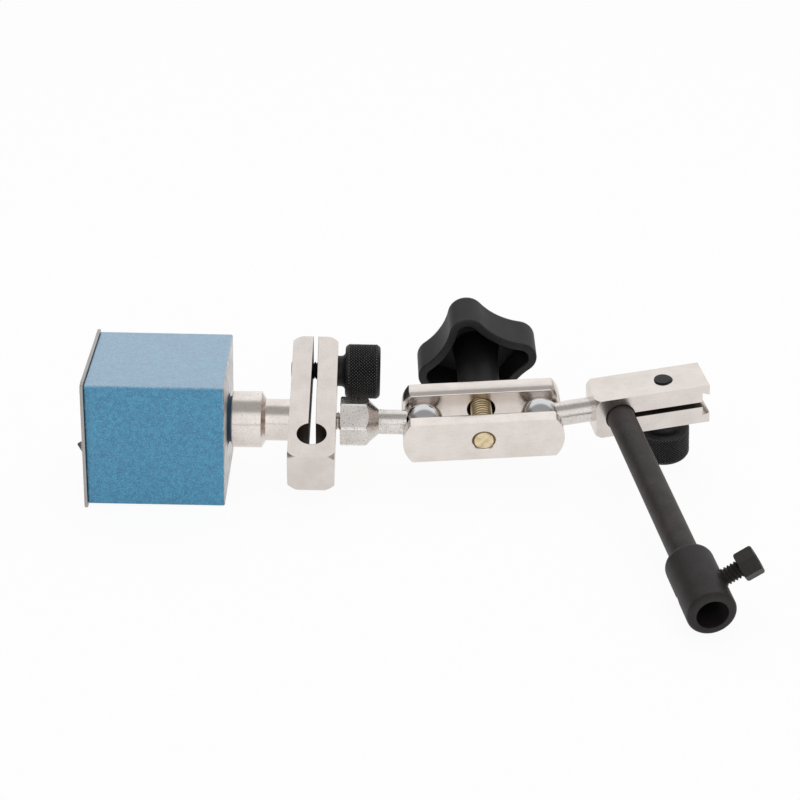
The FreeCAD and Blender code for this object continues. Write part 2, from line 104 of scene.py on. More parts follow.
class Solid:
    """A closed mesh under construction, in its piece's own frame."""

    def __init__(self, mesh: bmesh.types.BMesh) -> None:
        """Wraps a bmesh, which the solid then owns."""
        self.mesh = mesh

    @classmethod
    def turned(cls, profile: Profile, steps: int = ROUND_STEPS) -> "Solid":
        """Spins (x, radius) points about X.

        Args:
            profile: Points that start and end on the axis, or make a closed ring off it.
            steps: Sides of the round.

        Returns:
            The turned solid.
        """
        mesh = bmesh.new()
        verts = [mesh.verts.new((x, 0, radius)) for x, radius in profile]
        edges = [mesh.edges.new(pair) for pair in zip(verts, verts[1:])]
        bmesh.ops.spin(
            mesh, geom=verts + edges, cent=(0, 0, 0), axis=(1, 0, 0), angle=2 * math.pi,
            steps=steps, use_merge=True
        )
        return cls(mesh).welded()

    @classmethod
    def rod(cls, start: Point, end: Point, radius: float, steps: int = ROUND_STEPS) -> "Solid":
        """Makes a cylinder between two points."""
        return cls.cone(start, end, radius, radius, steps)

    @classmethod
    def cone(
        cls, start: Point, end: Point, first: float, last: float, steps: int = ROUND_STEPS
    ) -> "Solid":
        """Makes a cone between two points with a radius at each."""
        low, high = Vector(start), Vector(end)
        mesh = bmesh.new()
        bmesh.ops.create_cone(
            mesh, cap_ends=True, segments=steps, radius1=first, radius2=last,
            depth=(high - low).length
        )
        turn = (high - low).to_track_quat("Z", "Y").to_matrix().to_4x4()
        bmesh.ops.transform(
            mesh, matrix=Matrix.Translation((low + high) / 2) @ turn, verts=mesh.verts
        )
        return cls(mesh)

    @classmethod
    def ball(cls, centre: Point, radius: float) -> "Solid":
        """Makes a sphere."""
        mesh = bmesh.new()
        bmesh.ops.create_uvsphere(mesh, u_segments=96, v_segments=64, radius=radius)
        bmesh.ops.translate(mesh, vec=centre, verts=mesh.verts)
        return cls(mesh)

    @classmethod
    def box(cls, low: Point, high: Point) -> "Solid":
        """Makes a box between two corners."""
        mesh = bmesh.new()
        bmesh.ops.create_cube(mesh, size=1)
        size = Vector(high) - Vector(low)
        bmesh.ops.scale(mesh, vec=size, verts=mesh.verts)
        bmesh.ops.translate(mesh, vec=Vector(low) + size / 2, verts=mesh.verts)
        return cls(mesh)

    @classmethod
    def prism(cls, outline: Sequence[Point], depth: Point) -> "Solid":
        """Extrudes a flat outline by a vector."""
        mesh = bmesh.new()
        face = mesh.faces.new([mesh.verts.new(point) for point in outline])
        moved = bmesh.ops.extrude_face_region(mesh, geom=[face])["geom"]
        bmesh.ops.translate(
            mesh, vec=depth, verts=[v for v in moved if isinstance(v, bmesh.types.BMVert)]
        )
        return cls(mesh).welded()

    @classmethod
    def thread(
        cls, start: float, end: float, radius: float, pitch: float, depth: float
    ) -> "Solid":
        """Makes a screw thread along X.

        Args:
            start: Where the thread begins on X.
            end: Where it ends.
            radius: The crest's radius.
            pitch: The distance between crests.
            depth: How far the root lies below the crest.

        Returns:
            The thread as a closed solid with flat ends.
        """
        steps = 40
        root = radius - depth
        turns = math.ceil((end - start) / pitch) + 2
        shape = ((0, root), (0.1, root), (0.44, radius), (0.56, radius), (0.9, root), (1, root))
        mesh = bmesh.new()
        verts = [mesh.verts.new((start + (share - 1) * pitch, 0, r)) for share, r in shape]
        edges = [mesh.edges.new(pair) for pair in zip(verts, verts[1:])]
        bmesh.ops.spin(
            mesh, geom=verts + edges, cent=(0, 0, 0), axis=(1, 0, 0),
            dvec=(pitch / steps, 0, 0),
            angle=2 * math.pi * turns, steps=steps * turns,
        )
        bmesh.ops.remove_doubles(mesh, verts=mesh.verts, dist=MERGE)
        for place, way in ((start, -1), (end, 1)):
            whole = mesh.verts[:] + mesh.edges[:] + mesh.faces[:]
            bmesh.ops.bisect_plane(
                mesh, geom=whole, plane_co=(place, 0, 0), plane_no=(way, 0, 0), clear_outer=True
            )
            rim = [
                e for e in mesh.edges if e.is_boundary and abs(e.verts[0].co.x - place) < MERGE
            ]
            bmesh.ops.edgeloop_fill(mesh, edges=rim)
        return cls(mesh).welded()

    def welded(self) -> "Solid":
        """Merges doubles and turns every face outwards."""
        bmesh.ops.remove_doubles(self.mesh, verts=self.mesh.verts, dist=MERGE)
        bmesh.ops.recalc_face_normals(self.mesh, faces=self.mesh.faces)
        return self

    def placed(self, place: Matrix) -> "Solid":
        """Moves the solid by a matrix."""
        bmesh.ops.transform(self.mesh, matrix=place, verts=self.mesh.verts)
        return self

    def beside(self, *others: "Solid") -> "Solid":
        """Takes other solids in as islands of the same mesh."""
        for other in others:
            data = bpy.data.meshes.new("island")
            other.mesh.to_mesh(data)
            other.mesh.free()
            self.mesh.from_mesh(data)
            bpy.data.meshes.remove(data)
        return self

    def combined(self, way: Combine, *others: "Solid") -> "Solid":
        """Cuts, keeps or adds other solids by exact booleans.

        Args:
            way: What the others do to this solid.
            others: The solids that do it. They are used up.

        Returns:
            This solid, changed.
        """
        body = self.to_object("body")
        helpers = [other.to_object("helper") for other in others]
        for helper in helpers:
            modifier = body.modifiers.new("combine", "BOOLEAN")
            modifier.operation = way.value
            modifier.solver = "EXACT"
            modifier.object = helper
        self.mesh = bmesh.new()
        evaluated = body.evaluated_get(bpy.context.evaluated_depsgraph_get())
        self.mesh.from_mesh(evaluated.to_mesh())
        evaluated.to_mesh_clear()
        for used in [body, *helpers]:
            data = used.data
            bpy.data.objects.remove(used)
            bpy.data.meshes.remove(data)
        bmesh.ops.remove_doubles(self.mesh, verts=self.mesh.verts, dist=MERGE)
        return self

    def cut(self, *others: "Solid") -> "Solid":
        """Cuts other solids away."""
        return self.combined(Combine.CUT, *others)

    def kept(self, *others: "Solid") -> "Solid":
        """Keeps only what lies in the other solids too."""
        return self.combined(Combine.KEEP, *others)

    def bevelled(
        self, edges: Iterable[bmesh.types.BMEdge], width: float, segments: int
    ) -> "Solid":
        """Bevels the given edges with a round profile."""
        bmesh.ops.bevel(
            self.mesh, geom=list(edges), offset=width, offset_type="OFFSET", segments=segments,
            profile=0.5,
            affect="EDGES", clamp_overlap=True, material=-1,
        )
        return self

    def sharp_edges(self, least: float = 40.0) -> list[bmesh.types.BMEdge]:
        """Lists the edges whose faces meet at more than an angle in degrees."""
        limit = math.radians(least)
        return [
            e for e in self.mesh.edges if len(e.link_faces) == 2 and e.calc_face_angle(0) > limit
        ]

    def to_object(self, name: str) -> bpy.types.Object:
        """Makes an object of the solid at the origin."""
        data = bpy.data.meshes.new(name)
        self.mesh.to_mesh(data)
        self.mesh.free()
        made = bpy.data.objects.new(name, data)
        bpy.context.scene.collection.objects.link(made)
        return made

    def finished(self, name: str, ease: float = 0.0, segments: int = 2) -> bpy.types.Object:
        """Makes the final object with softened edges and even shading.

        Args:
            name: The object's name.
            ease: The width of the bevel on sharp edges, or 0 for none.
            segments: The bevel's segments.

        Returns:
            The object, with its modifiers applied.
        """
        made = self.to_object(name)
        made.data.shade_smooth()
        if ease:
            bevel = made.modifiers.new("ease", "BEVEL")
            bevel.width = ease
            bevel.segments = segments
            bevel.limit_method = "ANGLE"
            bevel.angle_limit = math.radians(38)
            bevel.use_clamp_overlap = True
            bevel.harden_normals = False
        else:
            made.data.set_sharp_from_angle(angle=math.radians(35))
        weigh = made.modifiers.new("shade", "WEIGHTED_NORMAL")
        weigh.keep_sharp = True
        evaluated = made.evaluated_get(bpy.context.evaluated_depsgraph_get())
        final = bpy.data.meshes.new_from_object(evaluated)
        made.modifiers.clear()
        rough = made.data
        made.data = final
        bpy.data.meshes.remove(rough)
        final.name = name
        return made


def eased(
    points: Sequence[tuple[float, float, float]], steps: int = 5
) -> list[tuple[float, float]]:
    """Rounds the corners of a turned profile.

    Args:
        points: (x, radius, rounding) for each corner. A rounding of 0 leaves the corner sharp.
        steps: Points on each rounding.

    Returns:
        The profile's points.
    """
    out: list[tuple[float, float]] = []
    for index, (x, y, rounding) in enumerate(points):
        if rounding == 0 or index in (0, len(points) - 1):
            out.append((x, y))
            continue
        here = Vector((x, y))
        before = (Vector(points[index - 1][:2]) - here).normalized()
        after = (Vector(points[index + 1][:2]) - here).normalized()
        half = before.angle(after) / 2
        back = rounding / math.tan(half)
        centre = here + (before + after).normalized() * (rounding / math.sin(half))
        first = (here + before * back - centre).normalized()
        last = (here + after * back - centre).normalized()
        for step in range(steps + 1):
            point = centre + first.slerp(last, step / steps) * rounding
            out.append((point.x, point.y))
    return out


class Signal:
    """A shader output that takes Python's operators."""

    def __init__(self, tree: bpy.types.NodeTree, socket: bpy.types.NodeSocket) -> None:
        """Wraps one output socket."""
        self.tree = tree
        self.socket = socket

    def _math(self, operation: str, *values: "Signal | float") -> "Signal":
        """Adds a Math node on values or links."""
        node = self.tree.nodes.new("ShaderNodeMath")
        node.operation = operation
        for socket, value in zip(node.inputs, values):
            if isinstance(value, Signal):
                self.tree.links.new(value.socket, socket)
            else:
                socket.default_value = value
        return Signal(self.tree, node.outputs[0])

    def __add__(self, other: "Signal | float") -> "Signal":
        """Adds."""
        return self._math("ADD", self, other)

    def __radd__(self, other: float) -> "Signal":
        """Adds with the number first."""
        return self._math("ADD", other, self)

    def __sub__(self, other: "Signal | float") -> "Signal":
        """Subtracts."""
        return self._math("SUBTRACT", self, other)

    def __rsub__(self, other: float) -> "Signal":
        """Subtracts from a number."""
        return self._math("SUBTRACT", other, self)

    def __mul__(self, other: "Signal | float") -> "Signal":
        """Multiplies."""
        return self._math("MULTIPLY", self, other)

    def __rmul__(self, other: float) -> "Signal":
        """Multiplies with the number first."""
        return self._math("MULTIPLY", other, self)

    def __truediv__(self, other: "Signal | float") -> "Signal":
        """Divides."""
        return self._math("DIVIDE", self, other)

    def __pow__(self, other: "Signal | float") -> "Signal":
        """Raises to a power."""
        return self._math("POWER", self, other)

    def __abs__(self) -> "Signal":
        """Drops the sign."""
        return self._math("ABSOLUTE", self)

    def least(self, other: "Signal | float") -> "Signal":
        """Takes the smaller of two."""
        return self._math("MINIMUM", self, other)

    def most(self, other: "Signal | float") -> "Signal":
        """Takes the larger of two."""
        return self._math("MAXIMUM", self, other)

    def between(self, low: float, high: float) -> "Signal":
        """Rises smoothly from 0 at low to 1 at high, or falls if low is the larger."""
        node = self.tree.nodes.new("ShaderNodeMapRange")
        node.interpolation_type = "SMOOTHSTEP"
        rising = high > low
        node.inputs["From Min"].default_value = low if rising else high
        node.inputs["From Max"].default_value = high if rising else low
        node.inputs["To Min"].default_value = 0 if rising else 1
        node.inputs["To Max"].default_value = 1 if rising else 0
        self.tree.links.new(self.socket, node.inputs["Value"])
        return Signal(self.tree, node.outputs["Result"])


class Nodes:
    """A node tree under construction."""

    def __init__(self, tree: bpy.types.NodeTree) -> None:
        """Empties the tree."""
        self.tree = tree
        tree.nodes.clear()

    def node(self, kind: str, settings: dict | None = None, **inputs: object) -> bpy.types.Node:
        """Adds a node.

        Args:
            kind: The node's type.
            settings: Properties that are set first, such as an operation.
            inputs: Values or signals by socket name, with spaces as underscores.

        Returns:
            The node.
        """
        node = self.tree.nodes.new(kind)
        for key, value in (settings or {}).items():
            setattr(node, key, value)
        for key, value in inputs.items():
            socket = node.inputs[key.replace("_", " ")]
            if isinstance(value, Signal):
                self.tree.links.new(value.socket, socket)
            else:
                socket.default_value = value
        return node

    def signal(self, node: bpy.types.Node, name: str) -> Signal:
        """Wraps a node's output by name."""
        return Signal(self.tree, node.outputs[name])

    def parts(self, vector: Signal) -> list[Signal]:
        """Splits a vector into its three numbers."""
        split = self.node("ShaderNodeSeparateXYZ", Vector=vector)
        return [self.signal(split, letter) for letter in "XYZ"]

    def mixed(self, factor: Signal, first: Colour | Signal, second: Colour | Signal) -> Signal:
        """Mixes two colours."""
        node = self.tree.nodes.new("ShaderNodeMix")
        node.data_type = "RGBA"
        self.tree.links.new(factor.socket, node.inputs["Factor"])
        for socket, value in ((node.inputs[6], first), (node.inputs[7], second)):
            if isinstance(value, Signal):
                self.tree.links.new(value.socket, socket)
            else:
                socket.default_value = (*value, 1)
        return Signal(self.tree, node.outputs[2])

class Shader(Nodes):
    """The tree of one material."""

    def __init__(self, name: str, place: Matrix) -> None:
        """Starts a material whose patterns lie in a piece's own frame.

        Args:
            name: The material's name.
            place: The piece's frame.
        """
        self.material = bpy.data.materials.new(name)
        self.material.use_nodes = True
        super().__init__(self.material.node_tree)
        self.output = self.tree.nodes.new("ShaderNodeOutputMaterial")
        coordinates = self.node("ShaderNodeTexCoord")
        inverse = place.inverted()
        mapping = self.node(
            "ShaderNodeMapping", Vector=self.signal(coordinates, "Object"),
            Location=inverse.to_translation(), Rotation=inverse.to_euler(),
        )
        self.place = self.signal(mapping, "Vector")
        self.x, self.y, self.z = self.parts(self.place)
        self.from_axis = (self.y * self.y + self.z * self.z) ** 0.5

    def stretched(self, x: float, y: float, z: float) -> Signal:
        """Scales the piece's coordinates along its axes."""
        node = self.node("ShaderNodeVectorMath", {"operation": "MULTIPLY"})
        self.tree.links.new(self.place.socket, node.inputs[0])
        node.inputs[1].default_value = (x, y, z)
        return Signal(self.tree, node.outputs["Vector"])

    def noise(
        self, size: float, detail: float = 3.0, where: Signal | None = None, rough: float = 0.55
    ) -> Signal:
        """Makes noise whose grain is about a size in metres."""
        node = self.node(
            "ShaderNodeTexNoise", Vector=where or self.place, Scale=1 / size, Detail=detail,
            Roughness=rough
        )
        return self.signal(node, "Fac")

    def cells(self, size: float) -> Signal:
        """Makes cells about a size across: the distance to the nearest centre."""
        node = self.node("ShaderNodeTexVoronoi", Vector=self.place, Scale=1 / size)
        return self.signal(node, "Distance")

    def bump(self, height: Signal, depth: float) -> Signal:
        """Makes a normal from a height of 0 to 1 and its depth in metres."""
        node = self.node("ShaderNodeBump", Height=height, Strength=1.0, Distance=depth)
        return self.signal(node, "Normal")

    def surface(self, **inputs: object) -> Signal:
        """Adds a Principled surface with the given sockets."""
        return self.signal(self.node("ShaderNodeBsdfPrincipled", **inputs), "BSDF")

    def blended(self, factor: Signal, first: Signal, second: Signal) -> Signal:
        """Mixes two surfaces."""
        node = self.tree.nodes.new("ShaderNodeMixShader")
        for socket, value in zip(node.inputs, (factor, first, second)):
            self.tree.links.new(value.socket, socket)
        return Signal(self.tree, node.outputs[0])

    def done(self, surface: Signal) -> bpy.types.Material:
        """Connects the surface to the output and returns the material."""
        self.tree.links.new(surface.socket, self.output.inputs["Surface"])
        return self.material


class Finish(ABC):
    """One finish of the object, which dresses a piece in the piece's own frame."""

    @abstractmethod
    def surface(self, shader: Shader) -> Signal:
        """Builds the finish's surface in a shader."""

    def material(self, name: str, place: Matrix) -> bpy.types.Material:
        """Makes a material with the finish for one piece."""
        shader = Shader(name, place)
        return shader.done(self.surface(shader))


@dataclass(frozen=True)
class NickelPlate(Finish):
    """Satin nickel plate over milled or turned metal, with faint marks of handling."""

    tint: Colour = srgb(239, 231, 225)
    shade: Colour = srgb(218, 209, 202)
    pit: Colour = srgb(120, 108, 98)
    roughness: float = 0.18
    lines: Point = (1.0, 1.0, 1.0)
    line_size: float = 0.35 * MM
    line_depth: float = 0.002 * MM
    speckle: float = 0.12

    def surface(self, shader: Shader) -> Signal:
        """Mixes clouds of tone, fine tool lines, small pits and pale scuffs."""
        clouds = shader.noise(6 * MM, 4)
        lines = shader.noise(self.line_size, 2, shader.stretched(*self.lines))
        scuffs = shader.noise(0.5 * MM, 5).between(0.62, 0.78)
        pits = shader.noise(0.4 * MM, 4, rough=0.7).between(0.52, 0.66)
        tone = clouds.between(0.3, 0.75) * 0.5 + lines.between(0.45, 0.7) * 0.14
        colour = shader.mixed(
            pits * self.speckle, shader.mixed(tone, self.tint, self.shade), self.pit
        )
        rough = self.roughness + 0.08 * clouds + 0.14 * scuffs
        normal = shader.bump(lines + pits * self.speckle, self.line_depth)
        return shader.surface(Base_Color=colour, Metallic=1.0, Roughness=rough, Normal=normal)


@dataclass(frozen=True)
class SlottedPlate(NickelPlate):
    """Nickel on a slotted block, with painted shade in dark brown in its bore, round its mouth and in its slot."""

    # The dark brown of the painted shade in the bore and the slot.
    bore_and_slot_shade: Colour = srgb(92, 80, 70)
    across_x: bool = False
    bore_at: float = 0.0
    bore_radius: float = 4 * MM
    shadow: float = 0.05 * MM
    slot_half: float = 0.75 * MM
    slot_slope: float = 0.0

    def surface(self, shader: Shader) -> Signal:
        """Paints shade in dark brown into the bore, round its mouth and into the slot, which runs from the bore to
        the block's end.
        """
        along, aside = (shader.y, shader.x) if self.across_x else (shader.x, shader.z)
        past = along - self.bore_at
        from_bore = (past * past + aside * aside) ** 0.5
        rim = self.bore_radius + self.shadow
        # Painted shade: the bore's wall, and a ring round its mouth as wide as the shadow setting.
        bore_shade = from_bore.between(rim + 0.08 * MM, rim)
        # Painted shade on the slot's walls.
        wall = abs(aside) - past * self.slot_slope
        slot_shade = wall.between(
            self.slot_half + 0.14 * MM, self.slot_half + 0.02 * MM
        ) * past.between(0, 0.2 * MM)
        plain = super().surface(shader)
        fine = shader.noise(0.4 * MM, 4)
        # The painted shade's dark brown surface.
        brown = shader.surface(
            Base_Color=shader.mixed(fine, self.bore_and_slot_shade, srgb(58, 50, 44)), Metallic=0.8,
            Roughness=0.4 + 0.2 * fine,
            Normal=shader.bump(fine, 0.01 * MM),
        )
        return shader.blended(bore_shade.most(slot_shade), plain, brown)


@dataclass(frozen=True)
class HexPlate(NickelPlate):
    """Worn nickel on the hexagon, speckled on its flats, with a painted highlight along its corners."""

    tint: Colour = srgb(234, 229, 224)
    shade: Colour = srgb(190, 182, 176)
    pit: Colour = srgb(92, 84, 78)
    corner: float = 6.93 * MM
    speckle: float = 0.55

    def surface(self, shader: Shader) -> Signal:
        """Paints a highlight along the corners."""
        plain = super().surface(shader)
        # A brighter, smoother nickel as the painted highlight.
        bright = shader.surface(
            Base_Color=(*srgb(252, 250, 247), 1), Metallic=1.0, Roughness=0.12
        )
        # The painted highlight's mask along the hexagon's corners, broken by noise.
        rubbed = shader.from_axis.between(self.corner - 0.32 * MM, self.corner - 0.12 * MM)
        return shader.blended(
            rubbed * shader.noise(0.6 * MM, 3).between(0.3, 0.5), plain, bright
        )


@dataclass(frozen=True)
class PostPlate(NickelPlate):
    """Nickel with scuffs and turning rings on the post, whose neck is dark navy: blue paint darkened as painted
    shade.
    """

    # Dark navy of the neck: the blue paint darkened as painted shade between the block and the collar.
    paint: Colour = srgb(20, 62, 96)
    painted_to: float = 37.95 * MM

    def surface(self, shader: Shader) -> Signal:
        """Paints the neck dark navy, as paint and painted shade, and leaves the rest plated."""
        plated = super().surface(shader)
        grain = shader.noise(0.3 * MM, 3)
        painted = shader.surface(
            Base_Color=shader.mixed(grain, self.paint, srgb(34, 82, 116)),
            Roughness=0.4 + 0.2 * grain,
            Normal=shader.bump(grain, 0.02 * MM),
        )
        return shader.blended(
            shader.x.between(self.painted_to, self.painted_to - 0.1 * MM), plated, painted
        )


@dataclass(frozen=True)
class PolishedChrome(Finish):
    """Hard chrome on the balls, polished, with hairline scratches."""

    tint: Colour = srgb(214, 214, 216)
    roughness: float = 0.1

    def surface(self, shader: Shader) -> Signal:
        """Breaks the polish with a few scratches."""
        scratches = shader.noise(0.25 * MM, 2, shader.stretched(1, 0.15, 1)).between(0.66, 0.72)
        rough = self.roughness + 0.18 * scratches + 0.05 * shader.noise(2 * MM)
        colour = shader.mixed(scratches, self.tint, srgb(190, 188, 186))
        return shader.surface(Base_Color=colour, Metallic=1.0, Roughness=rough)


@dataclass(frozen=True)
class HammertonePaint(Finish):
    """Blue hammertone paint on the block, pale on the edges from wear and a painted highlight, paler on top from
    dust and a painted sheen, painted shade in the recess, bare on the ground end.
    """

    paint: Colour = srgb(66, 166, 206)
    dark: Colour = srgb(2, 96, 142)
    # Pale flecks in the paint, and the pale edges: partly wear, partly painted highlight.
    pale: Colour = srgb(184, 204, 214)
    # The paler colour of the top face: partly dust, partly painted sheen.
    dust_and_sheen: Colour = srgb(190, 192, 198)
    # Dark navy spots in the paint, and the painted shade in the recess round the post.
    navy: Colour = srgb(20, 62, 92)
    bare: Colour = srgb(224, 224, 224)
    length: float = 37 * MM
    half_depth: float = 18.5 * MM
    half_height: float = 17.5 * MM
    recess_radius: float = 7.0 * MM
    # How much paler the top face is made, partly by dust and partly by painted sheen.
    dust: float = 0.34

    def surface(self, shader: Shader) -> Signal:
        """Speckles the paint, paints wear and a highlight on its edges, dust and a sheen on its top and shade in
        the recess, and leaves the ground end bare.
        """
        grain = shader.cells(0.7 * MM)
        specks = shader.noise(0.42 * MM, 4, rough=0.72)
        patches = shader.noise(5 * MM, 3)
        inside_x = self.length / 2 - abs(shader.x - self.length / 2)
        inside_y = self.half_depth - abs(shader.y)
        inside_z = self.half_height - abs(shader.z)
        edge = inside_x + inside_y + inside_z - inside_x.most(inside_y).most(inside_z)
        ragged = shader.noise(0.9 * MM, 5)
        # The edges are painted pale: partly worn paint, partly a painted highlight along the rounded edges.
        wear_and_highlight = (edge + (ragged - 0.5) * 0.6 * MM).between(0.34 * MM, 0.12 * MM)
        mottle = shader.noise(1.3 * MM, 4, rough=0.65)
        spotted = specks.between(0.42, 0.58) * 0.5 + mottle.between(0.35, 0.65) * 0.3
        tone = (spotted + patches * 0.2 + grain * 0.1).least(1.0)
        colour = shader.mixed(tone, self.dark, self.paint)
        spots = shader.noise(0.7 * MM, 3, rough=0.7).between(0.58, 0.68) * 0.4
        colour = shader.mixed(spots, colour, self.navy)
        flecks = specks.between(0.58, 0.7) * 0.45
        # The top face is mixed paler: partly dust, partly a painted sheen of the bright light overhead.
        dust_and_sheen_mask = shader.z.between(self.half_height - 0.5 * MM, self.half_height - 0.1 * MM)
        dust_and_sheen_mask = dust_and_sheen_mask * self.dust * (0.6 + 0.8 * shader.noise(0.5 * MM, 5, rough=0.7))
        colour = shader.mixed(flecks.most(wear_and_highlight * 0.75), colour, self.pale)
        colour = shader.mixed(dust_and_sheen_mask, colour, self.dust_and_sheen)
        # The recess round the post is painted dark navy: the blue paint, darkened as painted shade.
        recess_shade = shader.from_axis.between(
            self.recess_radius + 0.15 * MM, self.recess_radius - 0.05 * MM
        )
        recess_shade = recess_shade * shader.x.between(self.length - 3 * MM, self.length - 2 * MM)
        colour = shader.mixed(recess_shade, colour, self.navy)
        height = grain * 0.5 + specks * 0.5
        painted = shader.surface(
            Base_Color=colour, Metallic=0.0, Roughness=0.34 + 0.2 * specks, IOR=1.6,
            Coat_Weight=0.6,
            Coat_Roughness=0.28, Coat_IOR=1.6, Normal=shader.bump(height, 0.06 * MM),
        )
        lines = shader.noise(0.3 * MM, 3, shader.stretched(1, 1, 0.06))
        ground = shader.surface(
            Base_Color=shader.mixed(
                shader.noise(3 * MM, 4).between(0.3, 0.7), self.bare, srgb(168, 164, 162)
            ),
            Metallic=1.0, Roughness=0.24 + 0.2 * lines, Normal=shader.bump(lines, 0.006 * MM),
        )
        end = (shader.x + (ragged - 0.5) * 0.7 * MM).between(
            self.length - 0.3 * MM, self.length - 0.1 * MM
        )
        rim = (shader.from_axis + (ragged - 0.5) * 0.5 * MM).between(
            self.recess_radius, self.recess_radius + 0.15 * MM
        )
        return shader.blended(end * rim, painted, ground)


@dataclass(frozen=True)
class GroundSteel(Finish):
    """Bare ground steel with fine lines along one axis and a few brown spots."""

    tint: Colour = srgb(196, 192, 188)
    spot: Colour = srgb(96, 74, 58)
    lines: Point = (1.0, 0.05, 1.0)
    spots: float = 0.5

    def surface(self, shader: Shader) -> Signal:
        """Lays grinding lines and spots on the steel."""
        lines = shader.noise(0.3 * MM, 3, shader.stretched(*self.lines))
        spots = shader.noise(1.4 * MM, 5, rough=0.65).between(0.66, 0.74) * self.spots
        colour = shader.mixed(
            spots, shader.mixed(lines, self.tint, srgb(150, 146, 143)), self.spot
        )
        rough = 0.28 + 0.18 * lines + 0.3 * spots
        metal = 1.0 - 0.7 * spots
        return shader.surface(
            Base_Color=colour, Metallic=metal, Roughness=rough,
            Normal=shader.bump(lines, 0.006 * MM)
        )


@dataclass(frozen=True)
class KeeperSteel(GroundSteel):
    """Sheared sheet steel on the keeper, whose nib is painted dark grey as shade."""

    # The dark grey of the painted shade on the nib.
    nib: Colour = srgb(84, 80, 78)
    outer_face: float = -0.85 * MM

    def surface(self, shader: Shader) -> Signal:
        """Paints shade on the nib."""
        # A dark grey steel as painted shade on the nib.
        shaded_nib = shader.surface(Base_Color=(*self.nib, 1), Metallic=0.7, Roughness=0.5)
        nib = shader.x.between(self.outer_face - 0.1 * MM, self.outer_face - 0.3 * MM)
        return shader.blended(nib, super().surface(shader), shaded_nib)


@dataclass(frozen=True)
class YellowZinc(Finish):
    """Yellow chromated zinc on the clamp screw."""

    tint: Colour = srgb(240, 222, 184)
    stain: Colour = srgb(186, 166, 130)
    # The dark brown of the painted shade in the thread's roots and on the end's chamfer ring.
    root: Colour = srgb(96, 74, 40)
    crest_radius: float = 2.95 * MM

    def surface(self, shader: Shader) -> Signal:
        """Clouds the yellow with grey and paints shade in dark brown into the thread's roots and onto the end's
        chamfer ring.
        """
        clouds = shader.noise(1.6 * MM, 4).between(0.35, 0.7)
        fine = shader.noise(0.3 * MM, 3)
        # Painted shade in the thread's roots and on a ring at the end's chamfer.
        root = shader.from_axis.between(
            self.crest_radius - 0.08 * MM, self.crest_radius - 0.3 * MM
        )
        at_end = shader.x.between(0.75 * MM, 0.6 * MM)
        ring = shader.from_axis.between(
            self.crest_radius - 0.36 * MM, self.crest_radius - 0.28 * MM
        )
        dark = (root * (1 - at_end)).most(ring * at_end)
        colour = shader.mixed(clouds * 0.6, self.tint, self.stain)
        colour = shader.mixed(dark * 0.85, colour, self.root)
        return shader.surface(
            Base_Color=colour, Metallic=1.0, Roughness=0.3 + 0.15 * fine,
            Normal=shader.bump(fine, 0.004 * MM)
        )


@dataclass(frozen=True)
class BlackOxide(Finish):
    """Black oxide on steel, slightly brown, satin, with pale dust on raised grain."""

    tint: Colour = srgb(31, 27, 27)
    rubbed: Colour = srgb(62, 55, 54)
    roughness: float = 0.42
    specular: float = 0.35

    def surface(self, shader: Shader) -> Signal:
        """Mottles the oxide and rubs it lighter in places."""
        return self.coated(shader, self.colour(shader))

    def colour(self, shader: Shader) -> Signal:
        """Mixes the oxide's tones."""
        mottle = shader.noise(0.35 * MM, 4, rough=0.65)
        rubs = shader.noise(5 * MM, 4).between(0.42, 0.72)
        return shader.mixed(
            mottle.between(0.35, 0.72) * 0.6 + rubs * 0.4, self.tint, self.rubbed
        )

    def coated(self, shader: Shader, colour: Signal) -> Signal:
        """Gives a colour the oxide's satin grain."""
        grain = shader.noise(0.3 * MM, 4, rough=0.65)
        return shader.surface(
            Base_Color=colour, Metallic=0.0, Roughness=self.roughness + 0.14 * grain,
            Specular_IOR_Level=self.specular, Normal=shader.bump(grain, 0.01 * MM),
        )


@dataclass(frozen=True)
class KnurlOxide(BlackOxide):
    """Black oxide on a knurled head, rubbed paler on the crests."""

    tint: Colour = srgb(22, 22, 23)
    rubbed: Colour = srgb(40, 40, 41)
    crest: Colour = srgb(165, 162, 162)
    head_radius: float = 7.4 * MM
    knurl_depth: float = 0.36 * MM

    def surface(self, shader: Shader) -> Signal:
        """Rubs the crests."""
        rubbed = shader.from_axis.between(
            self.head_radius - 0.4 * self.knurl_depth, self.head_radius
        )
        return self.coated(shader, shader.mixed(rubbed * 0.8, self.colour(shader), self.crest))


@dataclass(frozen=True)
class MouldedPlastic(Finish):
    """Black moulded plastic with a fine spark grain, a little dust, and painted shade near the screw's axis."""

    tint: Colour = srgb(23, 23, 25)
    dust: Colour = srgb(50, 49, 50)
    roughness: float = 0.48
    # The radius round the screw's axis within which the plastic is painted darker as shade; 0 for none.
    shade_radius: float = 0.0

    def surface(self, shader: Shader) -> Signal:
        """Grains the plastic, clouds it with dust and paints shade within a radius of the screw's axis."""
        grain = shader.noise(0.16 * MM, 3, rough=0.6)
        clouds = shader.noise(7 * MM, 4).between(0.4, 0.8)
        colour = shader.mixed(
            clouds * 0.35 + grain.between(0.6, 0.75) * 0.15, self.tint, self.dust
        )
        # Painted shade: darker towards black within the radius of the screw's axis, where the boss stands in the
        # knob's hollow.
        if self.shade_radius:
            from_screw = (shader.x * shader.x + shader.z * shader.z) ** 0.5
            axis_shade = from_screw.between(self.shade_radius + 0.3 * MM, self.shade_radius)
            colour = shader.mixed(axis_shade * 0.6, colour, (0.0, 0.0, 0.0))
        return shader.surface(
            Base_Color=colour, Metallic=0.0, Roughness=self.roughness + 0.1 * grain,
            Specular_IOR_Level=0.4,
            Normal=shader.bump(grain, 0.014 * MM),
        )


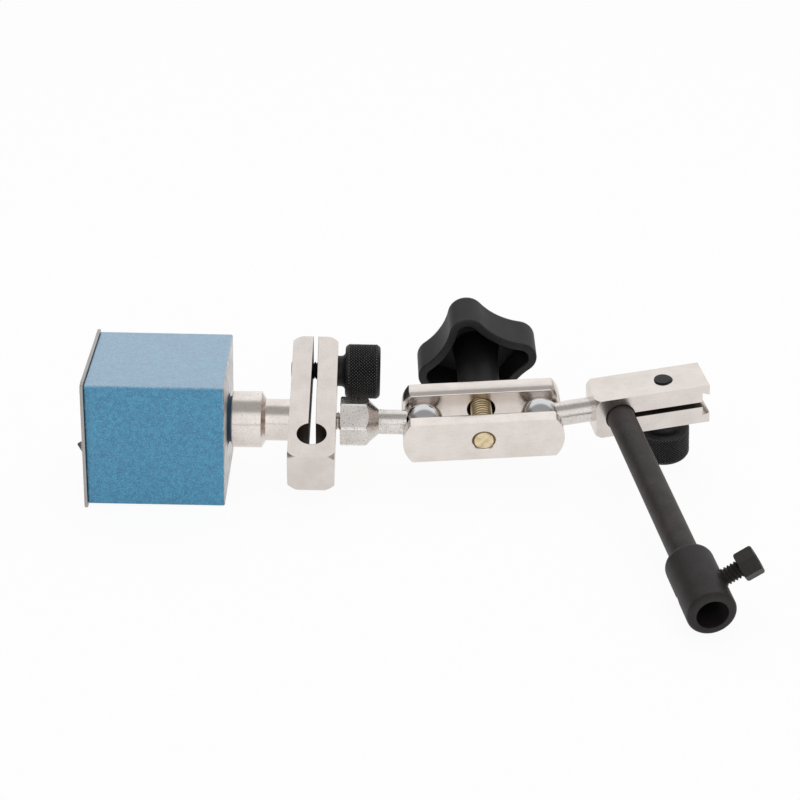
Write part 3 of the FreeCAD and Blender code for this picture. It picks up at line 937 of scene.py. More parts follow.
@dataclass(frozen=True)
class Ferrite(Finish):
    """Dark sintered magnet with a dull, finely pitted face."""

    tint: Colour = srgb(62, 62, 64)

    def surface(self, shader: Shader) -> Signal:
        """Pits the magnet's face."""
        pits = shader.noise(0.3 * MM, 4)
        colour = shader.mixed(pits, self.tint, srgb(40, 40, 42))
        return shader.surface(
            Base_Color=colour, Metallic=0.4, Roughness=0.5 + 0.2 * pits,
            Normal=shader.bump(pits, 0.02 * MM)
        )


class Body(Enum):
    """The moving groups that pieces ride on."""

    ROOT = "root"
    SWITCH = "switch"
    ADJUST_SCREW = "adjust_screw"
    STUD_A = "stud_a"
    CLAMP = "clamp"
    CLAMP_KNOB = "clamp_knob"
    STUD_B = "stud_b"
    HEAD = "head"
    HEAD_SCREW = "head_screw"
    ROD = "rod"
    SLEEVE = "sleeve"
    SLEEVE_SCREW = "sleeve_screw"


class Slot(Enum):
    """The names of the record's material slots, which nothing in the script uses."""

    PAINT = "blue_paint"
    STEEL = "bright_steel"
    NICKEL = "nickel"
    CHROME = "ball_chrome"
    ZINC = "yellow_zinc"
    PLASTIC = "black_plastic"
    KNURL = "black_knurl"
    OXIDE = "black_oxide"


def hand_over(
    made: bpy.types.Object, body: Body, look: bpy.types.Material,
    nodes: Sequence[str]
) -> bpy.types.Object:
    """Dresses a finished piece and hands it to the frame.

    Args:
        made: The piece.
        body: What it rides on.
        look: Its material.
        nodes: The nodes that it stands for.

    Returns:
        The piece.
    """
    if not made.data.materials:
        made.data.materials.append(look)
    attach(made, body.value)
    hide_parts(*nodes)
    LOG.info("%s: %d faces on %s", made.name, len(made.data.polygons), body.value)
    return made


def joint(name: str) -> dict:
    """Finds one of the frame's joints by name."""
    return next(entry for entry in frame["joints"] if entry["name"] == name)


def mount(name: str) -> dict:
    """Finds one of the record's mounts by name."""
    return next(entry for entry in frame["record"]["mounts"] if entry["name"] == name)


@dataclass
class Frames:
    """The tilted frames of the arm's groups, read from the joints and mounts."""

    adjust: Matrix = field(init=False)
    stud_a: Matrix = field(init=False)
    clamp: Matrix = field(init=False)
    head: Matrix = field(init=False)
    rod: Matrix = field(init=False)
    sleeve_screw: Matrix = field(init=False)

    def __post_init__(self) -> None:
        """Works the frames out."""
        ball_a = Vector(joint("clamp_swing")["pos_m"])
        ball_b = Vector(joint("stud_b_swing")["pos_m"])
        level = Vector((1, 0, 0))
        away = Vector(joint("clamp_swing")["axis"])
        bore = Vector(mount("stem_bore_block")["axis"])
        middle = Vector((joint("adjust_screw_turn")["pos_m"][0], 0, 0))
        along_head = Vector(joint("head_spin")["axis"])
        up_head = Vector(joint("head_screw_turn")["axis"])
        along_rod = Vector(joint("sleeve_turn")["axis"])
        screw = joint("sleeve_screw_turn")
        screw_way = Vector(screw["axis"])
        self.adjust = axes(middle, level, bore.cross(level))
        self.stud_a = axes(ball_a, level, Vector((0, 1, 0)))
        self.clamp = axes(ball_a, ball_b - ball_a, away)
        self.head = axes(ball_b, along_head, up_head.cross(along_head))
        self.rod = axes(Vector(joint("sleeve_turn")["pos_m"]), along_rod, along_head)
        self.sleeve_screw = axes(
            self.foot(Vector(screw["pos_m"]), along_rod, screw_way), screw_way, along_rod
        )

    def foot(self, point: Vector, along: Vector, way: Vector) -> Vector:
        """Finds where a line across the rod meets the rod's axis."""
        start = self.rod.to_translation()
        out = (point - start) - along * (point - start).dot(along)
        return point - way * out.length


@dataclass
class BaseBlock:
    """The painted block, its keeper, the post and the switch on the back."""

    length: float = 37 * MM
    depth: float = 37 * MM
    height: float = 35 * MM
    edge: float = 0.5 * MM
    recess_radius: float = 7.0 * MM
    recess_depth: float = 1.2 * MM
    switch_x: float = 17 * MM
    cover_radius: float = 13 * MM
    cover_thickness: float = 2 * MM
    keeper_thickness: float = 0.85 * MM
    keeper_overhang: float = 1.0 * MM
    keeper_top: float = 0.6 * MM
    keeper_corner: float = 1.0 * MM
    keeper_cut: float = 1.7 * MM
    nib_height: float = 3.0 * MM
    nib_reach: float = 1.2 * MM
    shaft_radius: float = 4.0 * MM
    knob_radius: float = 11.0 * MM
    knob_height: float = 9.0 * MM
    knob_gap: float = 0.2 * MM
    knob_skirt: float = 4.0 * MM
    knob_bar: float = 7.0 * MM
    knob_hole: float = 2.75 * MM
    screw_head: float = 2.6 * MM
    screw_head_height: float = 1.8 * MM
    screw_sunk: float = 1.0 * MM

    def build(self) -> None:
        """Makes every piece of the base."""
        level = Matrix.Identity(4)
        steel = GroundSteel()
        self.block()
        self.keeper()
        self.cover()
        self.knob()
        self.screw()
        for node in ("rotor_cheek_left", "rotor_cheek_right", "rotor_shaft"):
            dress_node(node, steel.material(node, level))
        dress_node("rotor_magnet", Ferrite().material("rotor_magnet", level))

    def block(self) -> None:
        """Makes the block with the recess round the post and the seat of the cover."""
        solid = Solid.box(
            (0, -self.depth / 2, -self.height / 2),
            (self.length, self.depth / 2, self.height / 2)
        )
        solid.bevelled(solid.mesh.edges[:], self.edge, 4)
        recess = Solid.rod(
            (self.length - self.recess_depth, 0, 0), (self.length + MM, 0, 0),
            self.recess_radius
        )
        seat_start = (self.switch_x, self.depth / 2 - self.cover_thickness - 0.3 * MM, 0)
        seat = Solid.rod(
            seat_start, (self.switch_x, self.depth / 2 + MM, 0), self.cover_radius + 0.06 * MM
        )
        made = solid.cut(recess, seat).finished("painted_block", 0.12 * MM)
        paint = HammertonePaint(
            length=self.length, half_depth=self.depth / 2, half_height=self.height / 2,
            recess_radius=self.recess_radius,
        )
        look = paint.material("hammertone_paint", Matrix.Identity(4))
        hand_over(
            made, Body.ROOT, look, ("pole_upper", "pole_lower", "pole_spacer")
        )

    def keeper(self) -> None:
        """Makes the keeper plate with its nib."""
        wide = self.depth / 2 + self.keeper_overhang
        tall = self.height / 2 + self.keeper_overhang
        thick = self.keeper_thickness
        solid = Solid.box((-thick, -wide, -tall), (0, wide, self.height / 2 + self.keeper_top))
        corners = [
            e for e in solid.mesh.edges if abs(e.verts[0].co.x - e.verts[1].co.x) > thick / 2
        ]
        cut = [e for e in corners if e.verts[0].co.y < 0 < e.verts[0].co.z]
        round_corners = [e for e in corners if e not in cut]
        solid.bevelled(cut, self.keeper_cut, 2)
        solid.bevelled([e for e in round_corners if e.is_valid], self.keeper_corner, 5)
        half = self.nib_height / 2
        outline = (
            (-thick, -wide, -half), (-thick - self.nib_reach, -wide, half / 2),
            (-thick, -wide, half)
        )
        made = solid.beside(Solid.prism(outline, (0, thick, 0))).finished("keeper", 0.1 * MM)
        look = KeeperSteel(spots=0.85, outer_face=-thick).material(
            "keeper_steel", Matrix.Identity(4)
        )
        hand_over(made, Body.ROOT, look, ("keeper_plate",))

    def at_switch(self, y: float) -> Matrix:
        """Gives a frame on the switch's axis whose X leaves the back face, from a height y."""
        return axes(Vector((self.switch_x, y, 0)), Vector((0, 1, 0)), Vector((-1, 0, 0)))

    def cover(self) -> None:
        """Makes the turned cover round the switch's shaft."""
        rim = 0.25 * MM
        inner = self.shaft_radius + 0.1 * MM
        place = self.at_switch(self.depth / 2)
        thick = self.cover_thickness
        profile = eased([
            (-thick, inner, 0), (0, inner, rim), (0, self.cover_radius, rim),
            (-thick, self.cover_radius, 0),
            (-thick, inner, 0),
        ])
        made = Solid.turned(profile).placed(place).finished("switch_cover")
        look = GroundSteel(lines=(1, 1, 1), spots=0.2).material("cover_steel", place)
        hand_over(made, Body.ROOT, look, ("chamber_cover",))

    def knob(self) -> None:
        """Makes the switch's round knob with its finger bar and arrow groove."""
        place = self.at_switch(self.depth / 2 + self.knob_gap)
        top = self.knob_height
        skirt = Solid.turned(eased([
            (0, 0, 0), (0, self.knob_radius, 0.3 * MM),
            (self.knob_skirt, self.knob_radius, 1.0 * MM),
            (self.knob_skirt, 0, 0),
        ]))
        half = self.knob_bar / 2
        bar = Solid.box((0.5 * MM, -self.knob_radius, -half), (top, self.knob_radius, half))
        wide = self.knob_radius - 0.15 * MM
        drum = Solid.turned(
            eased([(0, 0, 0), (0, wide, 0), (top, wide, 1.2 * MM), (top, 0, 0)])
        )
        hole = Solid.rod(
            (top - self.screw_head_height - self.screw_sunk, 0, 0), (top + MM, 0, 0),
            self.knob_hole
        )
        mark = Solid.box(
            (top - 0.4 * MM, self.knob_radius * 0.5, -0.5 * MM),
            (top + MM, self.knob_radius * 0.85, 0.5 * MM)
        )
        solid = skirt.combined(Combine.ADD, bar.kept(drum)).cut(hole, mark)
        made = solid.placed(place).finished("switch_handle", 0.3 * MM, 2)
        look = MouldedPlastic().material("switch_plastic", place)
        hand_over(made, Body.SWITCH, look, ("switch_knob",))

    def screw(self) -> None:
        """Makes the socket screw in the knob."""
        place = self.at_switch(
            self.depth / 2 + self.knob_gap + self.knob_height - self.screw_sunk
        )
        head = Solid.turned(eased([
            (-self.screw_head_height, 0, 0), (-self.screw_head_height, self.screw_head, 0),
            (0, self.screw_head, 0.3 * MM), (0, 0, 0),
        ]))
        socket = Solid.rod((-self.screw_sunk, 0, 0), (MM, 0, 0), 1.5 * MM, 6)
        made = head.cut(socket).placed(place).finished("switch_screw")
        look = GroundSteel(spots=0.1).material("screw_steel", place)
        hand_over(made, Body.SWITCH, look, ("knob_screw",))


def dress_node(node: str, look: bpy.types.Material) -> None:
    """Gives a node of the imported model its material."""
    data = frame["nodes"][node].data
    data.materials.clear()
    data.materials.append(look)
    LOG.info("%s: dressed as it is", node)


@dataclass
class Post:
    """The turned post between the block and the adjusting block."""

    start: float = 35.8 * MM
    neck_radius: float = 6.3 * MM
    collar_start: float = 38 * MM
    collar_length: float = 8.1 * MM
    collar_radius: float = 7.75 * MM
    cone: float = 1.15 * MM
    stem_radius: float = 5.75 * MM
    stem_length: float = 6.55 * MM

    def build(self) -> None:
        """Makes the post."""
        collar_end = self.collar_start + self.collar_length
        stem_start = collar_end + self.cone
        end = stem_start + self.stem_length
        solid = Solid.turned(eased([
            (self.start, 0, 0),
            (self.start, self.neck_radius, 0),
            (self.collar_start, self.neck_radius, 0),
            (self.collar_start, self.collar_radius, 0.35 * MM),
            (collar_end, self.collar_radius, 0.15 * MM),
            (stem_start, self.stem_radius, 0.12 * MM),
            (end, self.stem_radius, 0),
            (end, 0, 0),
        ]), 128)
        made = solid.finished("turned_post")
        look = PostPlate(
            lines=(1, 0.12, 0.12), line_size=0.22 * MM, line_depth=0.009 * MM, speckle=0.26,
            roughness=0.15
        ).material(
            "post_nickel", Matrix.Identity(4)
        )
        hand_over(made, Body.ROOT, look, ("post",))


@dataclass
class SquareBar:
    """A square bar along X whose corners are turned off round at its ends."""

    start: float
    end: float
    side: float
    turned_start: bool = True
    turned_end: bool = True
    margin: float = 0.8 * MM
    run: float = 2.1 * MM

    def solid(self) -> Solid:
        """Makes the bar and turns its ends."""
        half = self.side / 2
        corner = half * math.sqrt(2) + 0.01 * MM
        face = half + self.margin
        curve = []
        for step in range(7):
            angle = math.radians(15 * step)
            share = 1 - math.cos(angle)
            curve.append(
                (share * self.run, face + (corner - face) * (share + math.sin(angle)) / 2)
            )
        first = [
            (self.start + x, radius) for x, radius in curve
        ] if self.turned_start else [(self.start, corner)]
        last = [
            (self.end - x, radius) for x, radius in reversed(curve)
        ] if self.turned_end else [(self.end, corner)]
        bar = Solid.box((self.start, -half, -half), (self.end, half, half))
        limit = Solid.turned([(self.start, 0), *first, *last, (self.end, 0)], 160)
        return bar.kept(limit)


@dataclass
class ThumbScrew:
    """A knurled thumb screw along X, with the origin at the middle of the bar it crosses."""

    bar: float
    head_radius: float
    thread_radius: float = 2.5 * MM
    pitch: float = 0.8 * MM
    tip: float = 0.4 * MM
    neck_radius: float = 4.3 * MM
    neck_length: float = 2.6 * MM
    neck_flare: float = 1.2 * MM
    head_length: float = 9.3 * MM
    edge: float = 1.2 * MM
    ridges: int = 54
    knurl_depth: float = 0.36 * MM

    def solid(self) -> Solid:
        """Makes the thread, the neck and the knurled head."""
        half = self.bar / 2
        thread = Solid.thread(
            -half - self.tip, half + 0.2 * MM, self.thread_radius, self.pitch, 0.42 * MM
        )
        return thread.beside(self.neck(half), self.head(half + self.neck_length))

    def neck(self, start: float) -> Solid:
        """Makes the neck, flared into the head."""
        end = start + self.neck_length
        flare = self.neck_flare
        curve = [
            (end - flare + flare * math.sin(a), self.neck_radius + flare - flare * math.cos(a))
            for a in (math.radians(15 * step) for step in range(7))
        ]
        inside_head = [(end + 0.2 * MM, self.neck_radius + flare), (end + 0.2 * MM, 0)]
        return Solid.turned([(start, 0), (start, self.neck_radius), *curve, *inside_head])

    def head(self, start: float) -> Solid:
        """Makes the head with a diamond knurl between its rounded rims."""
        end = start + self.head_length
        low, high = start + self.edge, end - self.edge
        pitch = math.pi * self.head_radius / self.ridges
        rows = 2 * round((high - low) / (2 * pitch))
        step = (high - low) / rows
        rim = [math.radians(18 * k) for k in range(5)]
        sunk = self.head_radius - self.knurl_depth / 2
        first = [
            (low - self.edge * math.cos(a), sunk - self.edge + self.edge * math.sin(a)) for a in rim
        ]
        last = [
            (high + self.edge * math.cos(a), sunk - self.edge + self.edge * math.sin(a))
            for a in reversed(rim)
        ]
        middle = [(low + step * row, self.head_radius) for row in range(rows + 1)]
        dish = 0.25 * MM
        profile = [
            (start, 0), *first, *middle, *last, (end, self.head_radius * 0.6),
            (end - dish, self.head_radius * 0.55), (end - dish, 0)
        ]
        solid = Solid.turned(profile, 2 * self.ridges)
        return self.knurled(solid, low, step, rows)

    def knurled(self, solid: Solid, low: float, step: float, rows: int) -> Solid:
        """Sinks every second vertex of the rows and folds the quads along the grooves."""
        valleys = []
        for vert in solid.mesh.verts:
            row = (vert.co.x - low) / step
            radius = math.hypot(vert.co.y, vert.co.z)
            if radius < self.head_radius - MERGE or not -0.01 < row < rows + 0.01:
                continue
            column = round(math.atan2(vert.co.y, vert.co.z) / (math.pi / self.ridges))
            if (column + round(row)) % 2:
                share = (self.head_radius - self.knurl_depth) / radius
                vert.co.y *= share
                vert.co.z *= share
                valleys.append(vert)
        bmesh.ops.connect_verts(solid.mesh, verts=valleys)
        return solid


@dataclass
class AdjustBlock:
    """The slotted block on the post, with its bore and its thumb screw."""

    place: Matrix
    side: float = 12.7 * MM
    below: float = 20.4 * MM
    above: float = 27.3 * MM
    bore_radius: float = 4.0 * MM
    bore_below: float = 11.45 * MM
    screw_above: float = 20.0 * MM
    slot_inner: float = 2.0 * MM
    slot_outer: float = 1.3 * MM
    screw_hole: float = 2.6 * MM

    def build(self) -> None:
        """Makes the block and its screw."""
        self.block()
        self.screw()

    def block(self) -> None:
        """Makes the bar and cuts its bore, slot and screw hole."""
        half = self.side / 2
        over = half + MM
        bar = SquareBar(-self.below, self.above, self.side).solid()
        bar.placed(Matrix.Rotation(math.radians(90), 4, "Z"))
        bore = Solid.rod(
            (0, -self.bore_below, -over), (0, -self.bore_below, over), self.bore_radius
        )
        inner, outer = self.slot_inner / 2, self.slot_outer / 2
        top = self.above + MM
        outline = (
            (-inner, -self.bore_below, -over), (inner, -self.bore_below, -over),
            (outer, top, -over), (-outer, top, -over),
        )
        slot = Solid.prism(outline, (0, 0, 2 * over))
        hole = Solid.rod(
            (-over, self.screw_above, 0), (over, self.screw_above, 0), self.screw_hole
        )
        solid = bar.cut(bore, slot, hole)
        made = solid.placed(self.place).finished("slotted_block", 0.3 * MM, 3)
        look = SlottedPlate(
            tint=srgb(228, 220, 215), shade=srgb(210, 202, 196), lines=(1, 0.08, 1),
            across_x=True, bore_at=-self.bore_below, bore_radius=self.bore_radius,
            slot_half=inner, slot_slope=(outer - inner) / (top + self.bore_below),
        ).material("block_nickel", self.place)
        hand_over(made, Body.ROOT, look, ("adjust_block",))

    def screw(self) -> None:
        """Makes the thumb screw through both legs."""
        place = self.place @ Matrix.Translation((0, self.screw_above, 0))
        screw = ThumbScrew(
            bar=self.side, head_radius=7.75 * MM, head_length=9.9 * MM, neck_length=2.1 * MM
        )
        made = screw.solid().placed(place).finished("adjust_thumb_screw")
        look = KnurlOxide(head_radius=screw.head_radius).material("thumb_oxide", place)
        hand_over(made, Body.ADJUST_SCREW, look, ("adjust_screw",))


@dataclass
class BallStud:
    """A stud that ends in a ball at its frame's origin."""

    ball: float = 5.5 * MM
    neck: float = 3.4 * MM

    def ball_profile(self, way: int) -> list[tuple[float, float]]:
        """Lists the ball's profile from the neck to its far pole.

        Args:
            way: -1 where the neck comes from the left, 1 where it comes from the right.

        Returns:
            Points in order of growing distance from the neck.
        """
        start = math.asin(self.neck / self.ball)
        steps = 40
        angles = [start + (math.pi - start) * k / steps for k in range(steps + 1)]
        return [
            (way * self.ball * math.cos(a), max(0.0, self.ball * math.sin(a))) for a in angles
        ]


@dataclass
class HexStud(BallStud):
    """The stud with thread, hexagon and cone that is screwed into the adjusting block."""

    place: Matrix = field(default_factory=Matrix)
    reach: float = 24.3 * MM
    gap: float = 1.15 * MM
    thread_radius: float = 2.5 * MM
    thread_depth: float = 4.6 * MM
    flats: float = 12 * MM
    hex_length: float = 7.9 * MM
    cone_length: float = 2.7 * MM
    hex_turn: float = -7.7

    def build(self) -> None:
        """Makes the stud."""
        face = -self.reach
        start = face + self.gap
        end = start + self.hex_length
        cone_end = end + self.cone_length
        corner = self.flats / math.sqrt(3)
        drop = (corner - self.flats / 2) * 0.5
        hexagon = Solid.prism(
            [
                (start, corner * math.cos(a), corner * math.sin(a))
                for a in (math.radians(60 * k + self.hex_turn) for k in range(6))
            ],
            (self.hex_length, 0, 0),
        )
        limit = Solid.turned([
            (start, 0), (start, self.flats / 2 + drop),
            (start + drop * 0.8, corner + 0.01 * MM),
            (end - 2 * drop, corner + 0.01 * MM), (end, self.flats / 2 - 0.05 * MM), (end, 0),
        ], 144)
        grip = hexagon.kept(limit)
        grip.bevelled(grip.sharp_edges(25), 0.12 * MM, 2)
        shank = Solid.turned(eased([
            (end - MM, 0, 0), (end - MM, self.flats / 2 - 0.2 * MM, 0),
            (end, self.flats / 2 - 0.2 * MM, 0),
            (cone_end, self.neck, 0.5 * MM), (-self.ball * 0.9, self.neck, 0),
            (-self.ball * 0.9, 0, 0),
        ]))
        head = Solid.turned([(-self.ball * 0.95, 0), *self.ball_profile(-1)], 96)
        thread = Solid.thread(
            face - self.thread_depth, start + 0.2 * MM, self.thread_radius, 0.8 * MM, 0.42 * MM
        )
        look = HexPlate(
            lines=(0.6, 1, 1), line_depth=0.008 * MM, corner=corner
        ).material("stud_nickel", self.place)
        chrome = PolishedChrome().material("ball_a_chrome", self.place)
        made = two_finishes(
            "hex_stud", grip.beside(shank, thread), head, self.place, look, chrome
        )
        hand_over(made, Body.STUD_A, look, ("ball_stud_a",))


@dataclass
class HeadStud(BallStud):
    """The plain stud that carries the head block."""

    place: Matrix = field(default_factory=Matrix)
    reach: float = 14.5 * MM

    def build(self) -> None:
        """Makes the stud."""
        shank = Solid.turned([
            (self.ball * 0.6, 0), (self.ball * 0.6, self.neck), (self.reach, self.neck),
            (self.reach, 0),
        ])
        head = Solid.turned([(self.ball * 0.95, 0), *self.ball_profile(1)], 96)
        look = NickelPlate(
            lines=(1, 0.15, 0.15), line_size=0.2 * MM, line_depth=0.005 * MM,
            tint=srgb(232, 228, 224),
            speckle=0.35,
        ).material("head_stud_nickel", self.place)
        chrome = PolishedChrome().material("ball_b_chrome", self.place)
        made = two_finishes("head_stud", shank, head, self.place, look, chrome)
        hand_over(made, Body.STUD_B, look, ("ball_stud_b",))


def two_finishes(
    name: str, plain: Solid, bright: Solid, place: Matrix, first: bpy.types.Material,
    second: bpy.types.Material
) -> bpy.types.Object:
    """Makes one object of two solids with a material each.

    Args:
        name: The object's name.
        plain: The solid with the first material.
        bright: The solid with the second.
        place: The frame both are placed by.
        first: The first material.
        second: The second material.

    Returns:
        The object.
    """
    for face in bright.mesh.faces:
        face.material_index = 1
    made = plain.beside(bright).placed(place).finished(name)
    made.data.materials.append(first)
    made.data.materials.append(second)
    return made


@dataclass
class Clamp:
    """The two plates that grip the balls, with their screw and star knob."""

    place: Matrix
    spacing: float = 32 * MM
    gap: float = 9.2 * MM
    thickness: float = 4.6 * MM
    width: float = 12.8 * MM
    past_ball: float = 6.05 * MM
    end_radius: float = 10 * MM
    bevel: float = 0.8 * MM
    bevel_lean: float = 0.5 * MM
    seat_radius: float = 5.56 * MM
    screw_radius: float = 2.95 * MM
    screw_pitch: float = 1.0 * MM
    sink: float = 0.35 * MM
    back_hole: float = 3.9 * MM
    lobes: int = 4
    lobe_tip: float = 17.2 * MM
    lobe_valley: float = 12.2 * MM
    lobe_radius: float = 5.2 * MM
    lobe_turn: float = -12.0
    standoff: float = 14.2 * MM
    knob_height: float = 12.5 * MM
    wall: float = 2.4 * MM
    web: float = 3.2 * MM
    crown: float = 2.2 * MM
    boss_radius: float = 5.6 * MM
    boss_taper: float = 0.7 * MM
    boss_gap: float = 0.1 * MM
    screw_in_boss: float = 18 * MM

    @property
    def middle(self) -> float:
        """Gives the screw's place between the balls."""
        return self.spacing / 2

    @property
    def outer(self) -> float:
        """Gives the distance of a plate's outer face from the middle plane."""
        return self.gap / 2 + self.thickness

    def build(self) -> None:
        """Makes the plates, the screw and the knob."""
        self.plate(1)
        self.plate(-1)
        self.screw()
        self.knob()

    def plate(self, side: int) -> None:
        """Makes the plate on one side.

        Args:
            side: 1 for the back plate, -1 for the front one.
        """
        half_length = self.spacing / 2 + self.past_ball
        half_width = self.width / 2
        reach = half_length - self.end_radius
        sweep = math.asin(half_width / self.end_radius)
        arc = [sweep * (k / 12 - 1) for k in range(25)]
        inner = self.gap / 2
        outline = [
            (
                self.middle + way * (reach + self.end_radius * math.cos(a)), side * inner,
                way * self.end_radius * math.sin(a)
            )
            for way in (1, -1)
            for a in arc
        ]
        solid = Solid.prism(outline, (0, side * self.thickness, 0))
        rim = [
            e for e in solid.mesh.edges
            if all(abs(v.co.y - side * inner) < MERGE for v in e.verts)
        ]
        solid.bevelled(rim, self.bevel, 1)
        for vert in solid.mesh.verts:
            if abs(vert.co.y - side * (inner + self.bevel)) < MERGE:
                vert.co.y += side * self.bevel_lean
        seats = [Solid.ball((x, 0, 0), self.seat_radius) for x in (0, self.spacing)]
        radius = self.back_hole if side > 0 else self.screw_radius + 0.05 * MM
        far = side * (self.outer + MM)
        hole = Solid.rod((self.middle, 0, 0), (self.middle, far, 0), radius)
        tools = [*seats, hole]
        if side < 0:
            mouth = (self.middle, -self.outer - 0.01 * MM, 0)
            deep = (self.middle, -self.outer + self.sink, 0)
            tools.append(Solid.cone(mouth, deep, radius + self.sink, radius))
        name = "back_plate" if side > 0 else "front_plate"
        made = solid.cut(*tools).placed(self.place).finished(name, 0.3 * MM, 3)
        look = NickelPlate(lines=(0.08, 1, 1)).material(name + "_nickel", self.place)
        hand_over(
            made, Body.CLAMP, look,
            ("clamp_" + "_".join(reversed(name.split("_"))),)
        )

    def screw(self) -> None:
        """Makes the threaded screw."""
        length = 2 * self.outer + self.boss_gap + self.screw_in_boss
        thread = Solid.thread(0, length, self.screw_radius, self.screw_pitch, 0.5 * MM)
        chamfer = 0.3 * MM
        for vert in thread.mesh.verts:
            radius = math.hypot(vert.co.y, vert.co.z)
            limit = self.screw_radius - chamfer + vert.co.x
            if radius > limit:
                vert.co.y *= limit / radius
                vert.co.z *= limit / radius
        place = self.place @ axes(
            Vector((self.middle, -self.outer, 0)), Vector((0, 1, 0)), Vector((-1, 0, 0))
        )
        made = thread.placed(place).finished("zinc_screw")
        look = YellowZinc().material("yellow_zinc", place)
        hand_over(made, Body.CLAMP_KNOB, look, ("clamp_screw",))

    def star(self) -> list[Point]:
        """Lists the knob's outline: lobes and hollows as arcs that touch."""
        lobe = self.lobe_radius
        centre = self.lobe_tip - lobe
        half = math.pi / self.lobes
        valley = self.lobe_valley
        across = valley ** 2 + centre ** 2 - 2 * valley * centre * math.cos(half) - lobe ** 2
        hollow = across / (2 * (lobe - valley + centre * math.cos(half)))
        far = valley + hollow
        steps = 14
        outline: list[Point] = []
        for number in range(self.lobes):
            middle = 2 * half * number + math.radians(self.lobe_turn)
            lobe_at = self.polar(centre, middle)
            before, after = self.polar(far, middle - half), self.polar(far, middle + half)
            first, last = (before - lobe_at).normalized(), (after - lobe_at).normalized()
            tip = self.polar(1, middle)
            spokes = [
                first.slerp(tip, k / steps) for k in range(steps)
            ] + [tip.slerp(last, k / steps) for k in range(steps)]
            outline += [tuple(lobe_at + spoke * lobe) for spoke in spokes]
            next_at = self.polar(centre, middle + 2 * half)
            leave, join = (lobe_at - after).normalized(), (next_at - after).normalized()
            outline += [
                tuple(after + leave.slerp(join, k / steps) * hollow) for k in range(steps)
            ]
        return outline

    @staticmethod
    def polar(radius: float, angle: float) -> Vector:
        """Gives a point in the knob's plane."""
        return Vector((radius * math.sin(angle), 0, radius * math.cos(angle)))

    def knob(self) -> None:
        """Makes the star knob: a hollow cap with a rounded crown and a boss."""
        rim = self.outer + self.standoff
        top = rim + self.knob_height
        outline = [(x, rim, z) for x, _, z in self.star()]
        solid = Solid.prism(outline, (0, self.knob_height, 0))
        mesh = solid.mesh
        crown = [e for e in mesh.edges if all(v.co.y > top - MERGE for v in e.verts)]
        solid.bevelled(crown, self.crown, 8)
        floor = min(mesh.faces, key=lambda f: f.calc_center_median().y)
        bmesh.ops.inset_individual(
            mesh, faces=[floor], thickness=self.wall, use_even_offset=True
        )
        deep = bmesh.ops.extrude_discrete_faces(mesh, faces=[floor])["faces"][0]
        bmesh.ops.translate(mesh, vec=(0, self.knob_height - self.web, 0), verts=deep.verts)
        lip = [
            e for e in mesh.edges
            if all(
                abs(v.co.y - rim) < MERGE for v in e.verts
            ) and len(e.link_faces) == 2 and e.calc_face_angle(0) > 1
        ]
        solid.bevelled(lip, 0.45 * MM, 3)
        start = self.outer + self.boss_gap
        ceiling = top - self.web
        boss = Solid.turned(eased([
            (start, 0, 0), (start, self.boss_radius, 0.3 * MM),
            (ceiling, self.boss_radius + self.boss_taper, 1.0 * MM),
            (ceiling + 0.5 * MM, self.boss_radius + 3 * MM, 0), (ceiling + 0.5 * MM, 0, 0),
        ]))
        boss.placed(Matrix.Rotation(math.radians(90), 4, "Z"))
        place = self.place @ Matrix.Translation((self.middle, 0, 0))
        made = solid.beside(boss).placed(place).finished("lobed_knob")
        look = MouldedPlastic(
            shade_radius=self.boss_radius + 1.2 * MM
        ).material("knob_plastic", place)
        hand_over(made, Body.CLAMP_KNOB, look, ("star_knob",))


